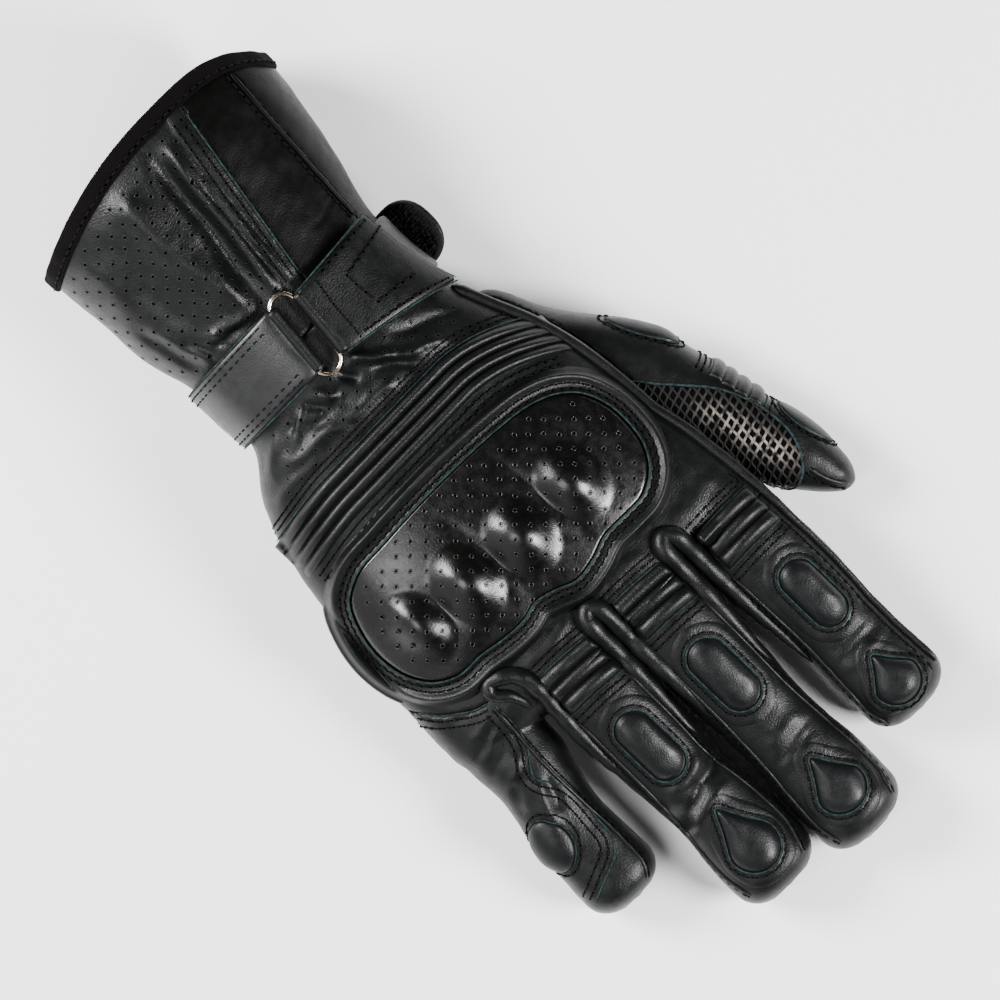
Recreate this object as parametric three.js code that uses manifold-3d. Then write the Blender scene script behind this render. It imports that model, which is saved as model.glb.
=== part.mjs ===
// A right-hand leather motorcycle gauntlet, lying palm down.
// A hollow sewn hand and a flared cuff carry a hard knuckle guard, stretch ribs, finger pads,
// rolled welts between the fingers, and a wrist strap that pulls through a wire ring.
// Millimetres, +Z up out of the back of the hand, +Y towards the fingertips, -X the thumb's side.
import * as THREE from "three";
import { ParametricGeometry } from "three/addons/geometries/ParametricGeometry.js";
import { mergeVertices } from "three/addons/utils/BufferGeometryUtils.js";
import Module from "manifold-3d";

const wasm = await Module();
wasm.setup();

// Driving dimensions
const GAP = 0.3; // between pieces that touch
const LEATHER = 1.8; // wall of the glove, with its lining
const CUFF_LENGTH = 74.5; // strap's centre line to the cuff's edge
const CUFF_WIDTH = 88;
const CUFF_HEIGHT = 62;
const CUFF_EDGE_RISE = 11; // how far the cuff's edge climbs at its sides
const WRIST_WIDTH = 71;
const WRIST_HEIGHT = 52; // from the floor to the top of the wrist
const HAND_LENGTH = 117; // strap's centre line to the roots of the fingers
const HAND_NOSE = 8; // how far the hand's own bag runs on between the fingers
const PALM_WIDTH = 112;
const PALM_HEIGHT = 40;
const FINGER_HEIGHT = 23;
const THUMB_LENGTH = 114.3;
const THUMB_WIDTH = 27;
const THUMB_HEIGHT = 25;
const BINDING_WIDTH = 6.2;
const BINDING_THICKNESS = 1.1;
const STRAP_WIDTH = 22;
const STRAP_THICKNESS = 1.6;
const STRAP_SEAT = 0.9; // between the wrist and a strap round it
const RING_WIDTH = 9.4; // outside of the wire, across the strap's pull
const RING_LENGTH = 26;
const RING_WIRE = 1.4; // diameter
const TAB_REACH = 14.5; // how far the strap's loose end stands out past the wrist
const TAB_PILE = 2; // thickness of the fuzzy fastener
const GUARD_LENGTH = 97; // across the knuckles
const GUARD_WIDTH = 45;
const GUARD_HEIGHT = 3.2;
const KNUCKLE_BUMP = 4.6;
const RIM_WIDTH = 5.6;
const RIM_HEIGHT = 2.6;
const WRIST_RIB_PITCH = 3.6;
const WRIST_RIB_HEIGHT = 1.7;
const FINGER_RIB_PITCH = 4.6;
const FINGER_RIB_HEIGHT = 1.6;
const FINGER_RIB_WIDTH = 21;
const PAD_WIDTH = 11.6;
const PAD_LENGTH = 23.6;
const PAD_HEIGHT = 2.2;
const DROP_WIDTH = 15.4; // teardrop pads near the fingertips
const DROP_LENGTH = 19.5;
const ROUND_PAD_WIDTH = 16; // on the little finger
const ROLL_RADIUS = 2.1; // rolled welts between the fingers
const PIPING_RADIUS = 1.9; // rolled edge on the thumb's side
const MESH_THICKNESS = 0.9;
const FLATTENED = 0.6; // height up to which the leather is pressed flat on what it lies on
const SINK = 3; // how deep a raised piece starts under the skin before it is trimmed

// Facets
const AROUND_HAND = 22;
const AROUND_FINGER = 12;
const CORD_SIDES = 7;
const WIRE_SIDES = 6;
const RING_STEPS = 24;

// The fingers: length past the root line as a share of the hand's length, width as a share of the
// palm's width, the height of the root's middle as a share of the palm's height, and the middle
// line's place at the root, the middle joint and the tip as shares of the palm's width.
const FINGER_TABLE = [
  { name: "index", length: 0.705, width: 0.241, rise: 0.53, root: -0.355, joint: -0.37, tip: -0.374 },
  { name: "middle", length: 0.833, width: 0.241, rise: 0.62, root: -0.085, joint: -0.076, tip: -0.064 },
  { name: "ring", length: 0.778, width: 0.236, rise: 0.62, root: 0.173, joint: 0.18, tip: 0.189 },
  { name: "little", length: 0.53, width: 0.218, rise: 0.48, root: 0.427, joint: 0.467, tip: 0.479 },
];
const FINGERS = FINGER_TABLE.map((finger) => ({
  ...finger,
  length: finger.length * HAND_LENGTH,
  width: finger.width * PALM_WIDTH,
}));
const [INDEX, MIDDLE, RING, LITTLE] = FINGERS;

// A finger's half width and half thickness along its length, as shares of its width and FINGER_HEIGHT
const FINGER_ROWS = [
  { along: -0.5, half: 0.5, thick: 0.4, droop: 0 },
  { along: 0, half: 0.55, thick: 0.52, droop: 0 },
  { along: 0.17, half: 0.545, thick: 0.52, droop: 0.1 },
  { along: 0.3, half: 0.525, thick: 0.52, droop: 0.28 },
  { along: 0.45, half: 0.5, thick: 0.51, droop: 0.5 },
  { along: 0.57, half: 0.472, thick: 0.49, droop: 0.68 },
  { along: 0.72, half: 0.487, thick: 0.49, droop: 0.86 },
  { along: 0.85, half: 0.51, thick: 0.49, droop: 0.97 },
  { along: 1, half: 0.505, thick: 0.48, droop: 1 },
];
const TIP_ROUND = 9; // how much of a finger's end is rounded off

// The hand and cuff: each row's place along its zone, its middle line and half width as shares of
// the zone's width, and the heights of its floor, its widest level and its top as shares of the
// zone's height. squareness is the power of its rounded section.
const ZONES = {
  cuff: { length: -CUFF_LENGTH, width: CUFF_WIDTH, height: CUFF_HEIGHT },
  wrist: { length: 0, width: WRIST_WIDTH, height: WRIST_HEIGHT },
  hand: { length: HAND_LENGTH, width: PALM_WIDTH, height: PALM_HEIGHT },
};
const HAND_ROWS = [
  { zone: "cuff", along: 1.3, centre: 0, half: 0.502, low: 0.02, widest: 0.47, top: 1, squareness: 2.15 },
  { zone: "cuff", along: 0.79, centre: 0, half: 0.5, low: 0.02, widest: 0.47, top: 1, squareness: 2.15 },
  { zone: "cuff", along: 0.577, centre: 0.008, half: 0.474, low: 0.02, widest: 0.46, top: 0.965, squareness: 2.15 },
  { zone: "cuff", along: 0.376, centre: 0.02, half: 0.45, low: 0.03, widest: 0.46, top: 0.92, squareness: 2.2 },
  { zone: "cuff", along: 0.161, centre: 0.026, half: 0.408, low: 0.06, widest: 0.45, top: 0.865, squareness: 2.25 },
  { zone: "wrist", along: 0, centre: 0.035, half: 0.495, low: 0.085, widest: 0.51, top: 1, squareness: 2.3 },
  { zone: "hand", along: 0.103, centre: 0.018, half: 0.32, low: 0.09, widest: 0.62, top: 1.26, squareness: 2.35 },
  { zone: "hand", along: 0.188, centre: 0.045, half: 0.366, low: 0.05, widest: 0.56, top: 1.22, squareness: 2.4 },
  { zone: "hand", along: 0.274, centre: 0.049, half: 0.406, low: 0.025, widest: 0.53, top: 1.185, squareness: 2.45 },
  { zone: "hand", along: 0.359, centre: 0.045, half: 0.437, low: 0.01, widest: 0.51, top: 1.15, squareness: 2.5 },
  { zone: "hand", along: 0.487, centre: 0.04, half: 0.469, low: 0, widest: 0.49, top: 1.1, squareness: 2.55 },
  { zone: "hand", along: 0.615, centre: 0.04, half: 0.486, low: 0, widest: 0.48, top: 1.05, squareness: 2.6 },
  { zone: "hand", along: 0.744, centre: 0.045, half: 0.495, low: 0.01, widest: 0.48, top: 1.01, squareness: 2.6 },
  { zone: "hand", along: 0.872, centre: 0.042, half: 0.502, low: 0.025, widest: 0.49, top: 0.97, squareness: 2.6 },
  { zone: "hand", along: 1.07, centre: 0.036, half: 0.508, low: 0.05, widest: 0.5, top: 0.92, squareness: 2.6 },
];

// The thumb: along its own length from its root in the heel of the palm, its middle line as a share
// of the palm's width, half width of THUMB_WIDTH, and floor and top of THUMB_HEIGHT
const THUMB_ROOT = 0.23; // of the hand's length
const THUMB_ROWS = [
  { along: 0, centre: -0.3, half: 0.24, low: 0.24, top: 0.8 },
  { along: 0.13, centre: -0.335, half: 0.34, low: 0.12, top: 0.9 },
  { along: 0.263, centre: -0.402, half: 0.5, low: 0.04, top: 1 },
  { along: 0.395, centre: -0.46, half: 0.58, low: 0.02, top: 1 },
  { along: 0.526, centre: -0.4955, half: 0.53, low: 0.02, top: 0.98 },
  { along: 0.658, centre: -0.534, half: 0.5, low: 0.02, top: 0.95 },
  { along: 0.789, centre: -0.5786, half: 0.445, low: 0.03, top: 0.9 },
  { along: 0.877, centre: -0.609, half: 0.365, low: 0.05, top: 0.84 },
  { along: 0.94, centre: -0.63, half: 0.27, low: 0.1, top: 0.76 },
  { along: 1, centre: -0.6455, half: 0.2, low: 0.16, top: 0.68 },
];

const handY = (share) => share * HAND_LENGTH;
const palmX = (share) => share * PALM_WIDTH;
const mix = THREE.MathUtils.lerp;
const clamp = THREE.MathUtils.clamp;
const smooth = THREE.MathUtils.smoothstep;

// Smooth value of one column between the rows of a table: cubic Hermite pieces with the slopes of
// the chords on either side, held at the end rows
function column(rows, key, y) {
  const last = rows.length - 1;
  if (y <= rows[0].y) return rows[0][key];
  if (y >= rows[last].y) return rows[last][key];
  let i = 0;
  while (rows[i + 1].y < y) i += 1;
  const slope = (j) => {
    const before = rows[Math.max(j - 1, 0)];
    const after = rows[Math.min(j + 1, last)];
    return (after[key] - before[key]) / (after.y - before.y);
  };
  const span = rows[i + 1].y - rows[i].y;
  const t = (y - rows[i].y) / span;
  const t2 = t * t;
  const t3 = t2 * t;
  return (
    (2 * t3 - 3 * t2 + 1) * rows[i][key] +
    (t3 - 2 * t2 + t) * span * slope(i) +
    (3 * t2 - 2 * t3) * rows[i + 1][key] +
    (t3 - t2) * span * slope(i + 1)
  );
}

// A tube is a bag with a rounded section at every y: {rows, from, to, fromRound, toRound}
const handTube = {
  rows: HAND_ROWS.map((row) => {
    const zone = ZONES[row.zone];
    return {
      y: row.along * zone.length,
      x: row.centre * zone.width,
      half: row.half * zone.width,
      low: row.low * zone.height,
      widest: row.widest * zone.height,
      top: row.top * zone.height,
      power: row.squareness,
    };
  }),
  from: -1.3 * CUFF_LENGTH,
  to: HAND_LENGTH + HAND_NOSE,
  fromRound: 0,
  toRound: 1.5 * HAND_NOSE,
};

function fingerTube(finger) {
  const tipMiddle = FINGER_HEIGHT / 2;
  const rootMiddle = finger.rise * PALM_HEIGHT;
  const place = [
    { y: 0, x: palmX(finger.root) },
    { y: 0.45, x: palmX(finger.joint) },
    { y: 0.95, x: palmX(finger.tip) },
  ];
  return {
    rows: FINGER_ROWS.map((row) => {
      const middle = mix(rootMiddle, tipMiddle, row.droop);
      const thick = row.thick * FINGER_HEIGHT;
      return {
        y: HAND_LENGTH + row.along * finger.length,
        x: column(place, "x", row.along),
        half: row.half * finger.width,
        low: middle - thick,
        widest: middle,
        top: middle + thick,
        power: 2.35,
      };
    }),
    from: HAND_LENGTH - 0.42 * finger.length,
    to: HAND_LENGTH + finger.length,
    fromRound: 0.25 * finger.length,
    toRound: TIP_ROUND,
  };
}

const thumbTube = {
  rows: THUMB_ROWS.map((row) => ({
    y: handY(THUMB_ROOT) + row.along * THUMB_LENGTH,
    x: palmX(row.centre),
    half: row.half * THUMB_WIDTH,
    low: row.low * THUMB_HEIGHT,
    widest: ((row.low + row.top) / 2) * THUMB_HEIGHT,
    top: row.top * THUMB_HEIGHT,
    power: 2.2,
  })),
  from: handY(THUMB_ROOT),
  to: handY(THUMB_ROOT) + THUMB_LENGTH,
  fromRound: 0.12 * THUMB_LENGTH,
  toRound: 0.75 * TIP_ROUND,
};

const fingerTubes = Object.fromEntries(FINGERS.map((f) => [f.name, fingerTube(f)]));
const bagTubes = [handTube, ...Object.values(fingerTubes)];

// The tube's section at y, grown by h all round: its middle line, half width and heights
function sectionAt(tube, y, h = 0) {
  const ease = (into) => (1 - clamp(into, 0, 1) ** 2.4) ** (1 / 2.4);
  let scale = 1;
  if (tube.toRound) scale *= ease((y - tube.to + tube.toRound) / (tube.toRound + h));
  if (tube.fromRound) scale *= ease((tube.from + tube.fromRound - y) / (tube.fromRound + h));
  const value = (key) => column(tube.rows, key, y);
  const widest = value("widest");
  return {
    x: value("x"),
    half: (value("half") + h) * scale,
    widest,
    up: (value("top") - widest + h) * scale,
    down: (widest - value("low") + h) * scale,
    power: value("power"),
  };
}

// The point at an angle round the section, h off the skin: 0 degrees is the little finger's side, 90 the top
function skin(tube, y, degrees, h = 0) {
  const s = sectionAt(tube, y, h);
  const a = THREE.MathUtils.degToRad(degrees);
  const bow = (value) => Math.sign(value) * Math.abs(value) ** (2 / s.power);
  const sine = bow(Math.sin(a));
  return new THREE.Vector3(s.x + s.half * bow(Math.cos(a)), y, s.widest + sine * (sine > 0 ? s.up : s.down));
}

// Height of the glove's upper skin over a point in plan. Outside every section it is taken at
// the edge of the nearest one.
const RIDGE_LIMIT = 0.985;
function topZ(x, y, tubes = bagTubes) {
  let best = -Infinity;
  let nearest = { reach: Infinity, z: 0 };
  for (const tube of tubes) {
    if (y <= tube.from || y >= tube.to) continue;
    const s = sectionAt(tube, y);
    const reach = Math.abs(x - s.x) / s.half;
    const bounded = Math.min(reach, RIDGE_LIMIT);
    const z = s.widest + s.up * (1 - bounded ** s.power) ** (1 / s.power);
    if (reach < RIDGE_LIMIT) best = Math.max(best, z);
    if (reach < nearest.reach) nearest = { reach, z };
  }
  return best > -Infinity ? best : nearest.z;
}

// The angle round the hand's section that stands over a place x on its upper side
function angleOver(tube, y, x) {
  const s = sectionAt(tube, y);
  const share = clamp((x - s.x) / s.half, -1, 1);
  return THREE.MathUtils.radToDeg(Math.acos(Math.sign(share) * Math.abs(share) ** (s.power / 2)));
}

// A three.js geometry as a solid: doubled vertices merged, flat triangles dropped, faces turned out
function solid(geometry) {
  const bare = new THREE.BufferGeometry();
  bare.setAttribute("position", geometry.getAttribute("position"));
  if (geometry.index) bare.setIndex(geometry.index);
  const merged = mergeVertices(bare, 1e-4);
  const kept = [];
  const index = merged.index.array;
  for (let i = 0; i < index.length; i += 3) {
    const [a, b, c] = [index[i], index[i + 1], index[i + 2]];
    if (a !== b && b !== c && c !== a) kept.push(a, b, c);
  }
  const make = (triVerts) =>
    new wasm.Manifold(
      new wasm.Mesh({
        numProp: 3,
        vertProperties: new Float32Array(merged.attributes.position.array),
        triVerts: new Uint32Array(triVerts),
      }),
    );
  const made = make(kept);
  return made.volume() >= 0 ? made : make(kept.reverse());
}

const joined = (parts) => parts.reduce((sum, part) => sum.add(part));
const cut = (body, ...tools) => tools.reduce((left, tool) => left.subtract(tool), body);

// The largest body of a solid: trimming can leave crumbs
function largest(body) {
  return body.decompose().reduce((a, b) => (b.volume() > a.volume() ? b : a));
}

// The levels at which a tube is sectioned: even steps, with closer ones where an end is rounded
function levels(tube, h, steps) {
  const round = [0.55, 0.88];
  const start = tube.fromRound ? tube.from + tube.fromRound : tube.from;
  const stop = tube.toRound ? tube.to - tube.toRound : tube.to;
  const body = Array.from({ length: steps + 1 }, (_, i) => mix(start, stop, i / steps));
  const tip = tube.toRound ? round.map((t) => stop + t * (tube.toRound + h)) : [];
  const tail = tube.fromRound ? round.map((t) => start - t * (tube.fromRound + h)) : [];
  return [...tail.reverse(), ...body, ...tip];
}

// A tube as a solid, grown by h: rings round every level, closed to a point at each end
function loft(tube, h, around, steps) {
  const ys = levels(tube, h, steps);
  const from = tube.fromRound ? tube.from - h : tube.from;
  const to = tube.toRound ? tube.to + h : tube.to;
  const rows = ys.length + 1;
  const pole = (y, target) => {
    const s = sectionAt(tube, clamp(y, tube.from, tube.to));
    target.set(s.x, y, s.widest);
  };
  return solid(
    new ParametricGeometry(
      (u, v, target) => {
        const k = Math.round(v * rows);
        if (k === 0) pole(from, target);
        else if (k === rows) pole(to, target);
        else target.copy(skin(tube, ys[k - 1], 360 * (u % 1), h));
      },
      around,
      rows,
    ),
  );
}

// A raised piece: a grid over (u, v) whose upper face stands lift(u, v) off the skin and whose
// lower face lies under it. wrap joins the last column to the first, for rings and round pieces.
function slab(place, lift, columns, rows, wrap = false, floor = () => -SINK) {
  const points = [];
  const index = [];
  const wide = columns + 1;
  const layer = wide * (rows + 1);
  const faces = [lift, floor];
  faces.forEach((height) => {
    for (let j = 0; j <= rows; j += 1) {
      for (let i = 0; i <= columns; i += 1) {
        const u = wrap ? (i % columns) / columns : i / columns;
        const v = j / rows;
        points.push(...place(u, v, height(u, v)).toArray());
      }
    }
  });
  const quad = (a, b, c, d) => index.push(a, b, c, a, c, d);
  const at = (i, j, side) => side * layer + j * wide + i;
  for (let j = 0; j < rows; j += 1) {
    for (let i = 0; i < columns; i += 1) {
      quad(at(i, j, 0), at(i + 1, j, 0), at(i + 1, j + 1, 0), at(i, j + 1, 0));
      quad(at(i, j, 1), at(i, j + 1, 1), at(i + 1, j + 1, 1), at(i + 1, j, 1));
    }
  }
  for (let i = 0; i < columns; i += 1) {
    quad(at(i, 0, 1), at(i + 1, 0, 1), at(i + 1, 0, 0), at(i, 0, 0));
    quad(at(i + 1, rows, 1), at(i, rows, 1), at(i, rows, 0), at(i + 1, rows, 0));
  }
  if (!wrap) {
    for (let j = 0; j < rows; j += 1) {
      quad(at(0, j + 1, 1), at(0, j, 1), at(0, j, 0), at(0, j + 1, 0));
      quad(at(columns, j, 1), at(columns, j + 1, 1), at(columns, j + 1, 0), at(columns, j, 0));
    }
  }
  const geometry = new THREE.BufferGeometry();
  geometry.setAttribute("position", new THREE.Float32BufferAttribute(points, 3));
  geometry.setIndex(index);
  return solid(geometry);
}

// A round cord along points: an ExtrudeGeometry of a many-sided section
function cord(points, radius, steps) {
  const section = new THREE.Shape(
    Array.from({ length: CORD_SIDES }, (_, i) => {
      const a = (2 * Math.PI * i) / CORD_SIDES;
      return new THREE.Vector2(radius * Math.cos(a), radius * Math.sin(a));
    }),
  );
  const extrudePath = new THREE.CatmullRomCurve3(points, false, "centripetal");
  return solid(new THREE.ExtrudeGeometry(section, { steps, extrudePath, bevelEnabled: false }));
}

// Everything between two curves in plan, over a range of heights
const TALL = 120;
const WIDE = 160;
function planBand(lower, upper, x0 = -WIDE, x1 = WIDE, steps = 10) {
  const xs = Array.from({ length: steps + 1 }, (_, i) => mix(x0, x1, i / steps));
  const outline = [
    ...xs.map((x) => new THREE.Vector2(x, lower(x))),
    ...xs.reverse().map((x) => new THREE.Vector2(x, upper(x))),
  ];
  const block = new THREE.ExtrudeGeometry(new THREE.Shape(outline), { depth: TALL, bevelEnabled: false });
  return solid(block.translate(0, 0, -TALL / 3));
}

// Everything above a line in the side view, from one side of the glove to the other
function aboveLine(line, offset) {
  const outline = [
    ...line.map(([y, z]) => new THREE.Vector2(y, z + offset)),
    new THREE.Vector2(line.at(-1)[0], TALL),
    new THREE.Vector2(line[0][0], TALL),
  ];
  const block = new THREE.ExtrudeGeometry(new THREE.Shape(outline), { depth: 2 * WIDE, bevelEnabled: false });
  block.translate(0, 0, -WIDE);
  const turn = new THREE.Matrix4().makeBasis(
    new THREE.Vector3(0, 1, 0),
    new THREE.Vector3(0, 0, 1),
    new THREE.Vector3(1, 0, 0),
  );
  return solid(block.applyMatrix4(turn));
}

// The bag of the glove, and of its thumb, grown by h. Its inside has half the facets.
const HAND_STEPS = 11;
const FINGER_STEPS = 4;
const facets = (h, count) => Math.round(h < 0 ? 0.5 * count : count);
const handBag = (h) => loft(handTube, h, facets(h, AROUND_HAND), facets(h, HAND_STEPS));
const fingerBag = (tube, h) => loft(tube, h, facets(h, AROUND_FINGER), facets(h, FINGER_STEPS));
const bag = (h) => joined([handBag(h), ...Object.values(fingerTubes).map((tube) => fingerBag(tube, h))]);
const thumbBag = (h) => loft(thumbTube, h, facets(h, AROUND_FINGER), facets(h, 6));

const outerBag = bag(0);
const hollow = bag(-LEATHER).add(thumbBag(-LEATHER));
const grownBag = bag(GAP);
const grownGlove = grownBag.add(thumbBag(GAP));
const trimmed = (piece, ...others) => largest(cut(piece, grownGlove, ...others));

// The cuff's edge in plan: level across the back and climbing to its sides
const EDGE_MIDDLE = -0.09; // of the cuff's width
function cuffEdge(x) {
  const t = x / CUFF_WIDTH - EDGE_MIDDLE;
  const side = t > 0 ? 0.5 - EDGE_MIDDLE : 0.5 + EDGE_MIDDLE;
  const power = t > 0 ? 2.1 : 4;
  return -CUFF_LENGTH + CUFF_EDGE_RISE * Math.min(Math.abs(t) / side, 1.1) ** power;
}

// The side seam between the back and the palm, as heights along the glove
const SEAM_LINE = [
  [-1.4 * CUFF_LENGTH, 0.5 * CUFF_HEIGHT],
  [0, 0.52 * WRIST_HEIGHT],
  [handY(0.4), 0.52 * PALM_HEIGHT],
  [handY(1.1), 0.5 * PALM_HEIGHT],
];
const upperHalf = aboveLine(SEAM_LINE, GAP / 2);
const upperHalfAndGap = aboveLine(SEAM_LINE, -GAP / 2);

// Leather of the hand and the cuff. The finger stalls are sewn on at the root line.
const shell = cut(outerBag, hollow);
const handZone = planBand(() => GAP / 2, () => HAND_LENGTH - GAP / 2);
const cuffZone = planBand(cuffEdge, () => -GAP / 2, -0.7 * CUFF_WIDTH, 0.7 * CUFF_WIDTH);
const handShell = shell.intersect(handZone);
const cuffShell = shell.intersect(cuffZone);
const ground = new THREE.BoxGeometry(4 * WIDE, 4 * WIDE, TALL);
const underGround = solid(ground.translate(0, 0, FLATTENED - TALL / 2));
const handBack = largest(handShell.intersect(upperHalf));
const handPalm = largest(cut(handShell, upperHalfAndGap, underGround));
const thumbLeather = largest(cut(thumbBag(0), thumbBag(-LEATHER), grownBag, underGround));

// Halfway between a finger and the next, at their roots
function between(i) {
  if (i < 0) return -WIDE;
  if (i === FINGERS.length - 1) return WIDE;
  const [a, b] = [FINGERS[i], FINGERS[i + 1]].map((finger) => sectionAt(fingerTubes[finger.name], HAND_LENGTH));
  return (a.x + a.half + b.x - b.half) / 2;
}
function stall(i) {
  const zone = planBand(() => HAND_LENGTH + GAP / 2, () => 2 * WIDE, between(i - 1) + GAP / 2, between(i) - GAP / 2, 1);
  return largest(shell.intersect(zone).subtract(underGround));
}

// The cuff's two long seams, each from the strap to the edge
const SEAMS = {
  thumbSide: { top: -0.32, edge: -0.39 },
  middle: { top: -0.05, edge: -0.205 },
};
function leftOf(seam, offset) {
  const seamX = (y) => CUFF_WIDTH * mix(seam.top, seam.edge, clamp(-y / CUFF_LENGTH, 0, 1)) + offset;
  const outline = [
    new THREE.Vector2(seamX(0), WIDE),
    new THREE.Vector2(seamX(0), 0),
    new THREE.Vector2(seamX(-CUFF_LENGTH), -CUFF_LENGTH),
    new THREE.Vector2(seamX(-CUFF_LENGTH), -WIDE),
    new THREE.Vector2(-WIDE, -WIDE),
    new THREE.Vector2(-WIDE, WIDE),
  ];
  const block = new THREE.ExtrudeGeometry(new THREE.Shape(outline), { depth: TALL, bevelEnabled: false });
  return solid(block.translate(0, 0, -TALL / 3));
}
const cuffBack = cuffShell.intersect(upperHalf);
const cuffPerforated = largest(cuffBack.subtract(leftOf(SEAMS.middle, GAP)));
const cuffSmooth = largest(cut(cuffBack.intersect(leftOf(SEAMS.middle, 0)), leftOf(SEAMS.thumbSide, GAP)));
const cuffUnder = largest(cut(cuffShell, upperHalfAndGap.subtract(leftOf(SEAMS.thumbSide, 0)), underGround));

// The binding tape: a folded band over the cuff's edge, inside and out
function binding() {
  const tape = cut(handBag(GAP + BINDING_THICKNESS), handBag(-LEATHER - GAP - BINDING_THICKNESS));
  const room = cut(handBag(GAP), handBag(-LEATHER - GAP));
  const band = (from, to) =>
    planBand((x) => cuffEdge(x) + from, (x) => cuffEdge(x) + to, -0.7 * CUFF_WIDTH, 0.7 * CUFF_WIDTH);
  const folded = tape.intersect(band(-GAP - BINDING_THICKNESS, BINDING_WIDTH));
  return largest(cut(folded, room.intersect(band(-GAP, 2 * BINDING_WIDTH)), underGround));
}

// Places in plan, on the upper skin
const onTop = (x, y, h) => new THREE.Vector3(x, y, topZ(x, y) + h);

// A closed outline from a short table of shares of a length and a width, as points on a smooth curve
function outlineCurve(rows, middle, size) {
  const points = rows.map(([x, y]) => new THREE.Vector3(middle.x + x * size.x, middle.y + y * size.y, 0));
  return new THREE.CatmullRomCurve3(points, true, "centripetal");
}

// The knuckle guard, a hard shell with four bumps, and the padded rim round it.
// Outline points as shares of the guard's length and width, from the little finger's end anticlockwise.
const GUARD_MIDDLE = new THREE.Vector2(palmX(0.067), handY(0.679));
const GUARD_SIZE = new THREE.Vector2(GUARD_LENGTH, GUARD_WIDTH);
const GUARD_OUTLINE = [
  [0.5, 0.02], [0.468, 0.27], [0.4, 0.41], [0.28, 0.43], [0.135, 0.475], [0.035, 0.45],
  [-0.065, 0.535], [-0.16, 0.5], [-0.235, 0.465], [-0.35, 0.47], [-0.445, 0.34], [-0.5, 0.06],
  [-0.47, -0.22], [-0.38, -0.4], [-0.2, -0.485], [0.05, -0.5], [0.28, -0.49], [0.42, -0.41], [0.482, -0.2],
];
const KNUCKLES = [
  { x: -0.265, y: 0.09 },
  { x: -0.045, y: 0.11 },
  { x: 0.165, y: 0.07 },
  { x: 0.345, y: 0.02 },
];
const KNUCKLE_SPREAD = new THREE.Vector2(0.088, 0.24); // of the guard's length and width
const OUTLINE_STEPS = 28;
const guardCurve = outlineCurve(GUARD_OUTLINE, GUARD_MIDDLE, GUARD_SIZE);

function guardPoint(u, v, h) {
  const edge = guardCurve.getPoint(u);
  return onTop(mix(GUARD_MIDDLE.x, edge.x, v), mix(GUARD_MIDDLE.y, edge.y, v), h);
}
function bumpHeight(x, y) {
  const heights = KNUCKLES.map((knuckle) => {
    const dx = (x - GUARD_MIDDLE.x - knuckle.x * GUARD_LENGTH) / (KNUCKLE_SPREAD.x * GUARD_LENGTH);
    const dy = (y - GUARD_MIDDLE.y - knuckle.y * GUARD_WIDTH) / (KNUCKLE_SPREAD.y * GUARD_WIDTH);
    return KNUCKLE_BUMP * Math.exp(-(dx * dx + dy * dy));
  });
  return Math.max(...heights);
}
function guardLift(u, v) {
  const p = guardPoint(u, v, 0);
  const crown = 1 - v ** 3;
  return GAP + 0.4 * GUARD_HEIGHT + 0.6 * GUARD_HEIGHT * crown + bumpHeight(p.x, p.y) * smooth(1 - v, 0, 0.3);
}
const guard = trimmed(slab(guardPoint, guardLift, OUTLINE_STEPS, 6, true));

// How far a point of the rim stands out from the guard's outline, at a share v of the rim's width
function rimPoint(u, v, h) {
  const edge = guardCurve.getPoint(u);
  const tangent = guardCurve.getTangent(u);
  const out = GAP + v * RIM_WIDTH;
  return onTop(edge.x + tangent.y * out, edge.y - tangent.x * out, h);
}
const rimLift = (u, v) => GAP + RIM_HEIGHT * (0.25 + 0.75 * Math.sin(Math.PI * clamp(0.12 + 0.88 * v, 0, 1)) ** 0.8);
const rim = trimmed(slab(rimPoint, rimLift, OUTLINE_STEPS, 3, true));

// Stretch ribs: v runs across the ribs, with a rounded ridge for each
const ridge = (v, count) => Math.abs(Math.sin(Math.PI * v * count)) ** 0.7;
const RIB_STEPS = 3; // facets over one rib

// The ribs over the wrist bend up towards both ends. from, to, leftBend and rightBend are shares
// of the palm's width, y, leftRise and rightRise of the hand's length.
const WRIST_RIBS = {
  count: 4,
  from: -0.41,
  to: 0.49,
  y: 0.276,
  leftBend: 0.28,
  leftRise: 0.1,
  rightBend: 0.22,
  rightRise: 0.028,
};
function wristRibPoint(u, v, h) {
  const { from, to, leftBend, leftRise, rightBend, rightRise } = WRIST_RIBS;
  const share = mix(from, to, u);
  const left = Math.max(0, 1 - (share - from) / leftBend) ** 1.8 * leftRise;
  const right = Math.max(0, 1 - (to - share) / rightBend) ** 1.5 * rightRise;
  const y = handY(WRIST_RIBS.y + left + right) + v * WRIST_RIBS.count * WRIST_RIB_PITCH;
  return onTop(palmX(share), y, h);
}
const wristRibLift = (u, v) => GAP + 0.4 + WRIST_RIB_HEIGHT * ridge(v, WRIST_RIBS.count);
const wristRibs = slab(wristRibPoint, wristRibLift, 9, WRIST_RIBS.count * RIB_STEPS);

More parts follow.
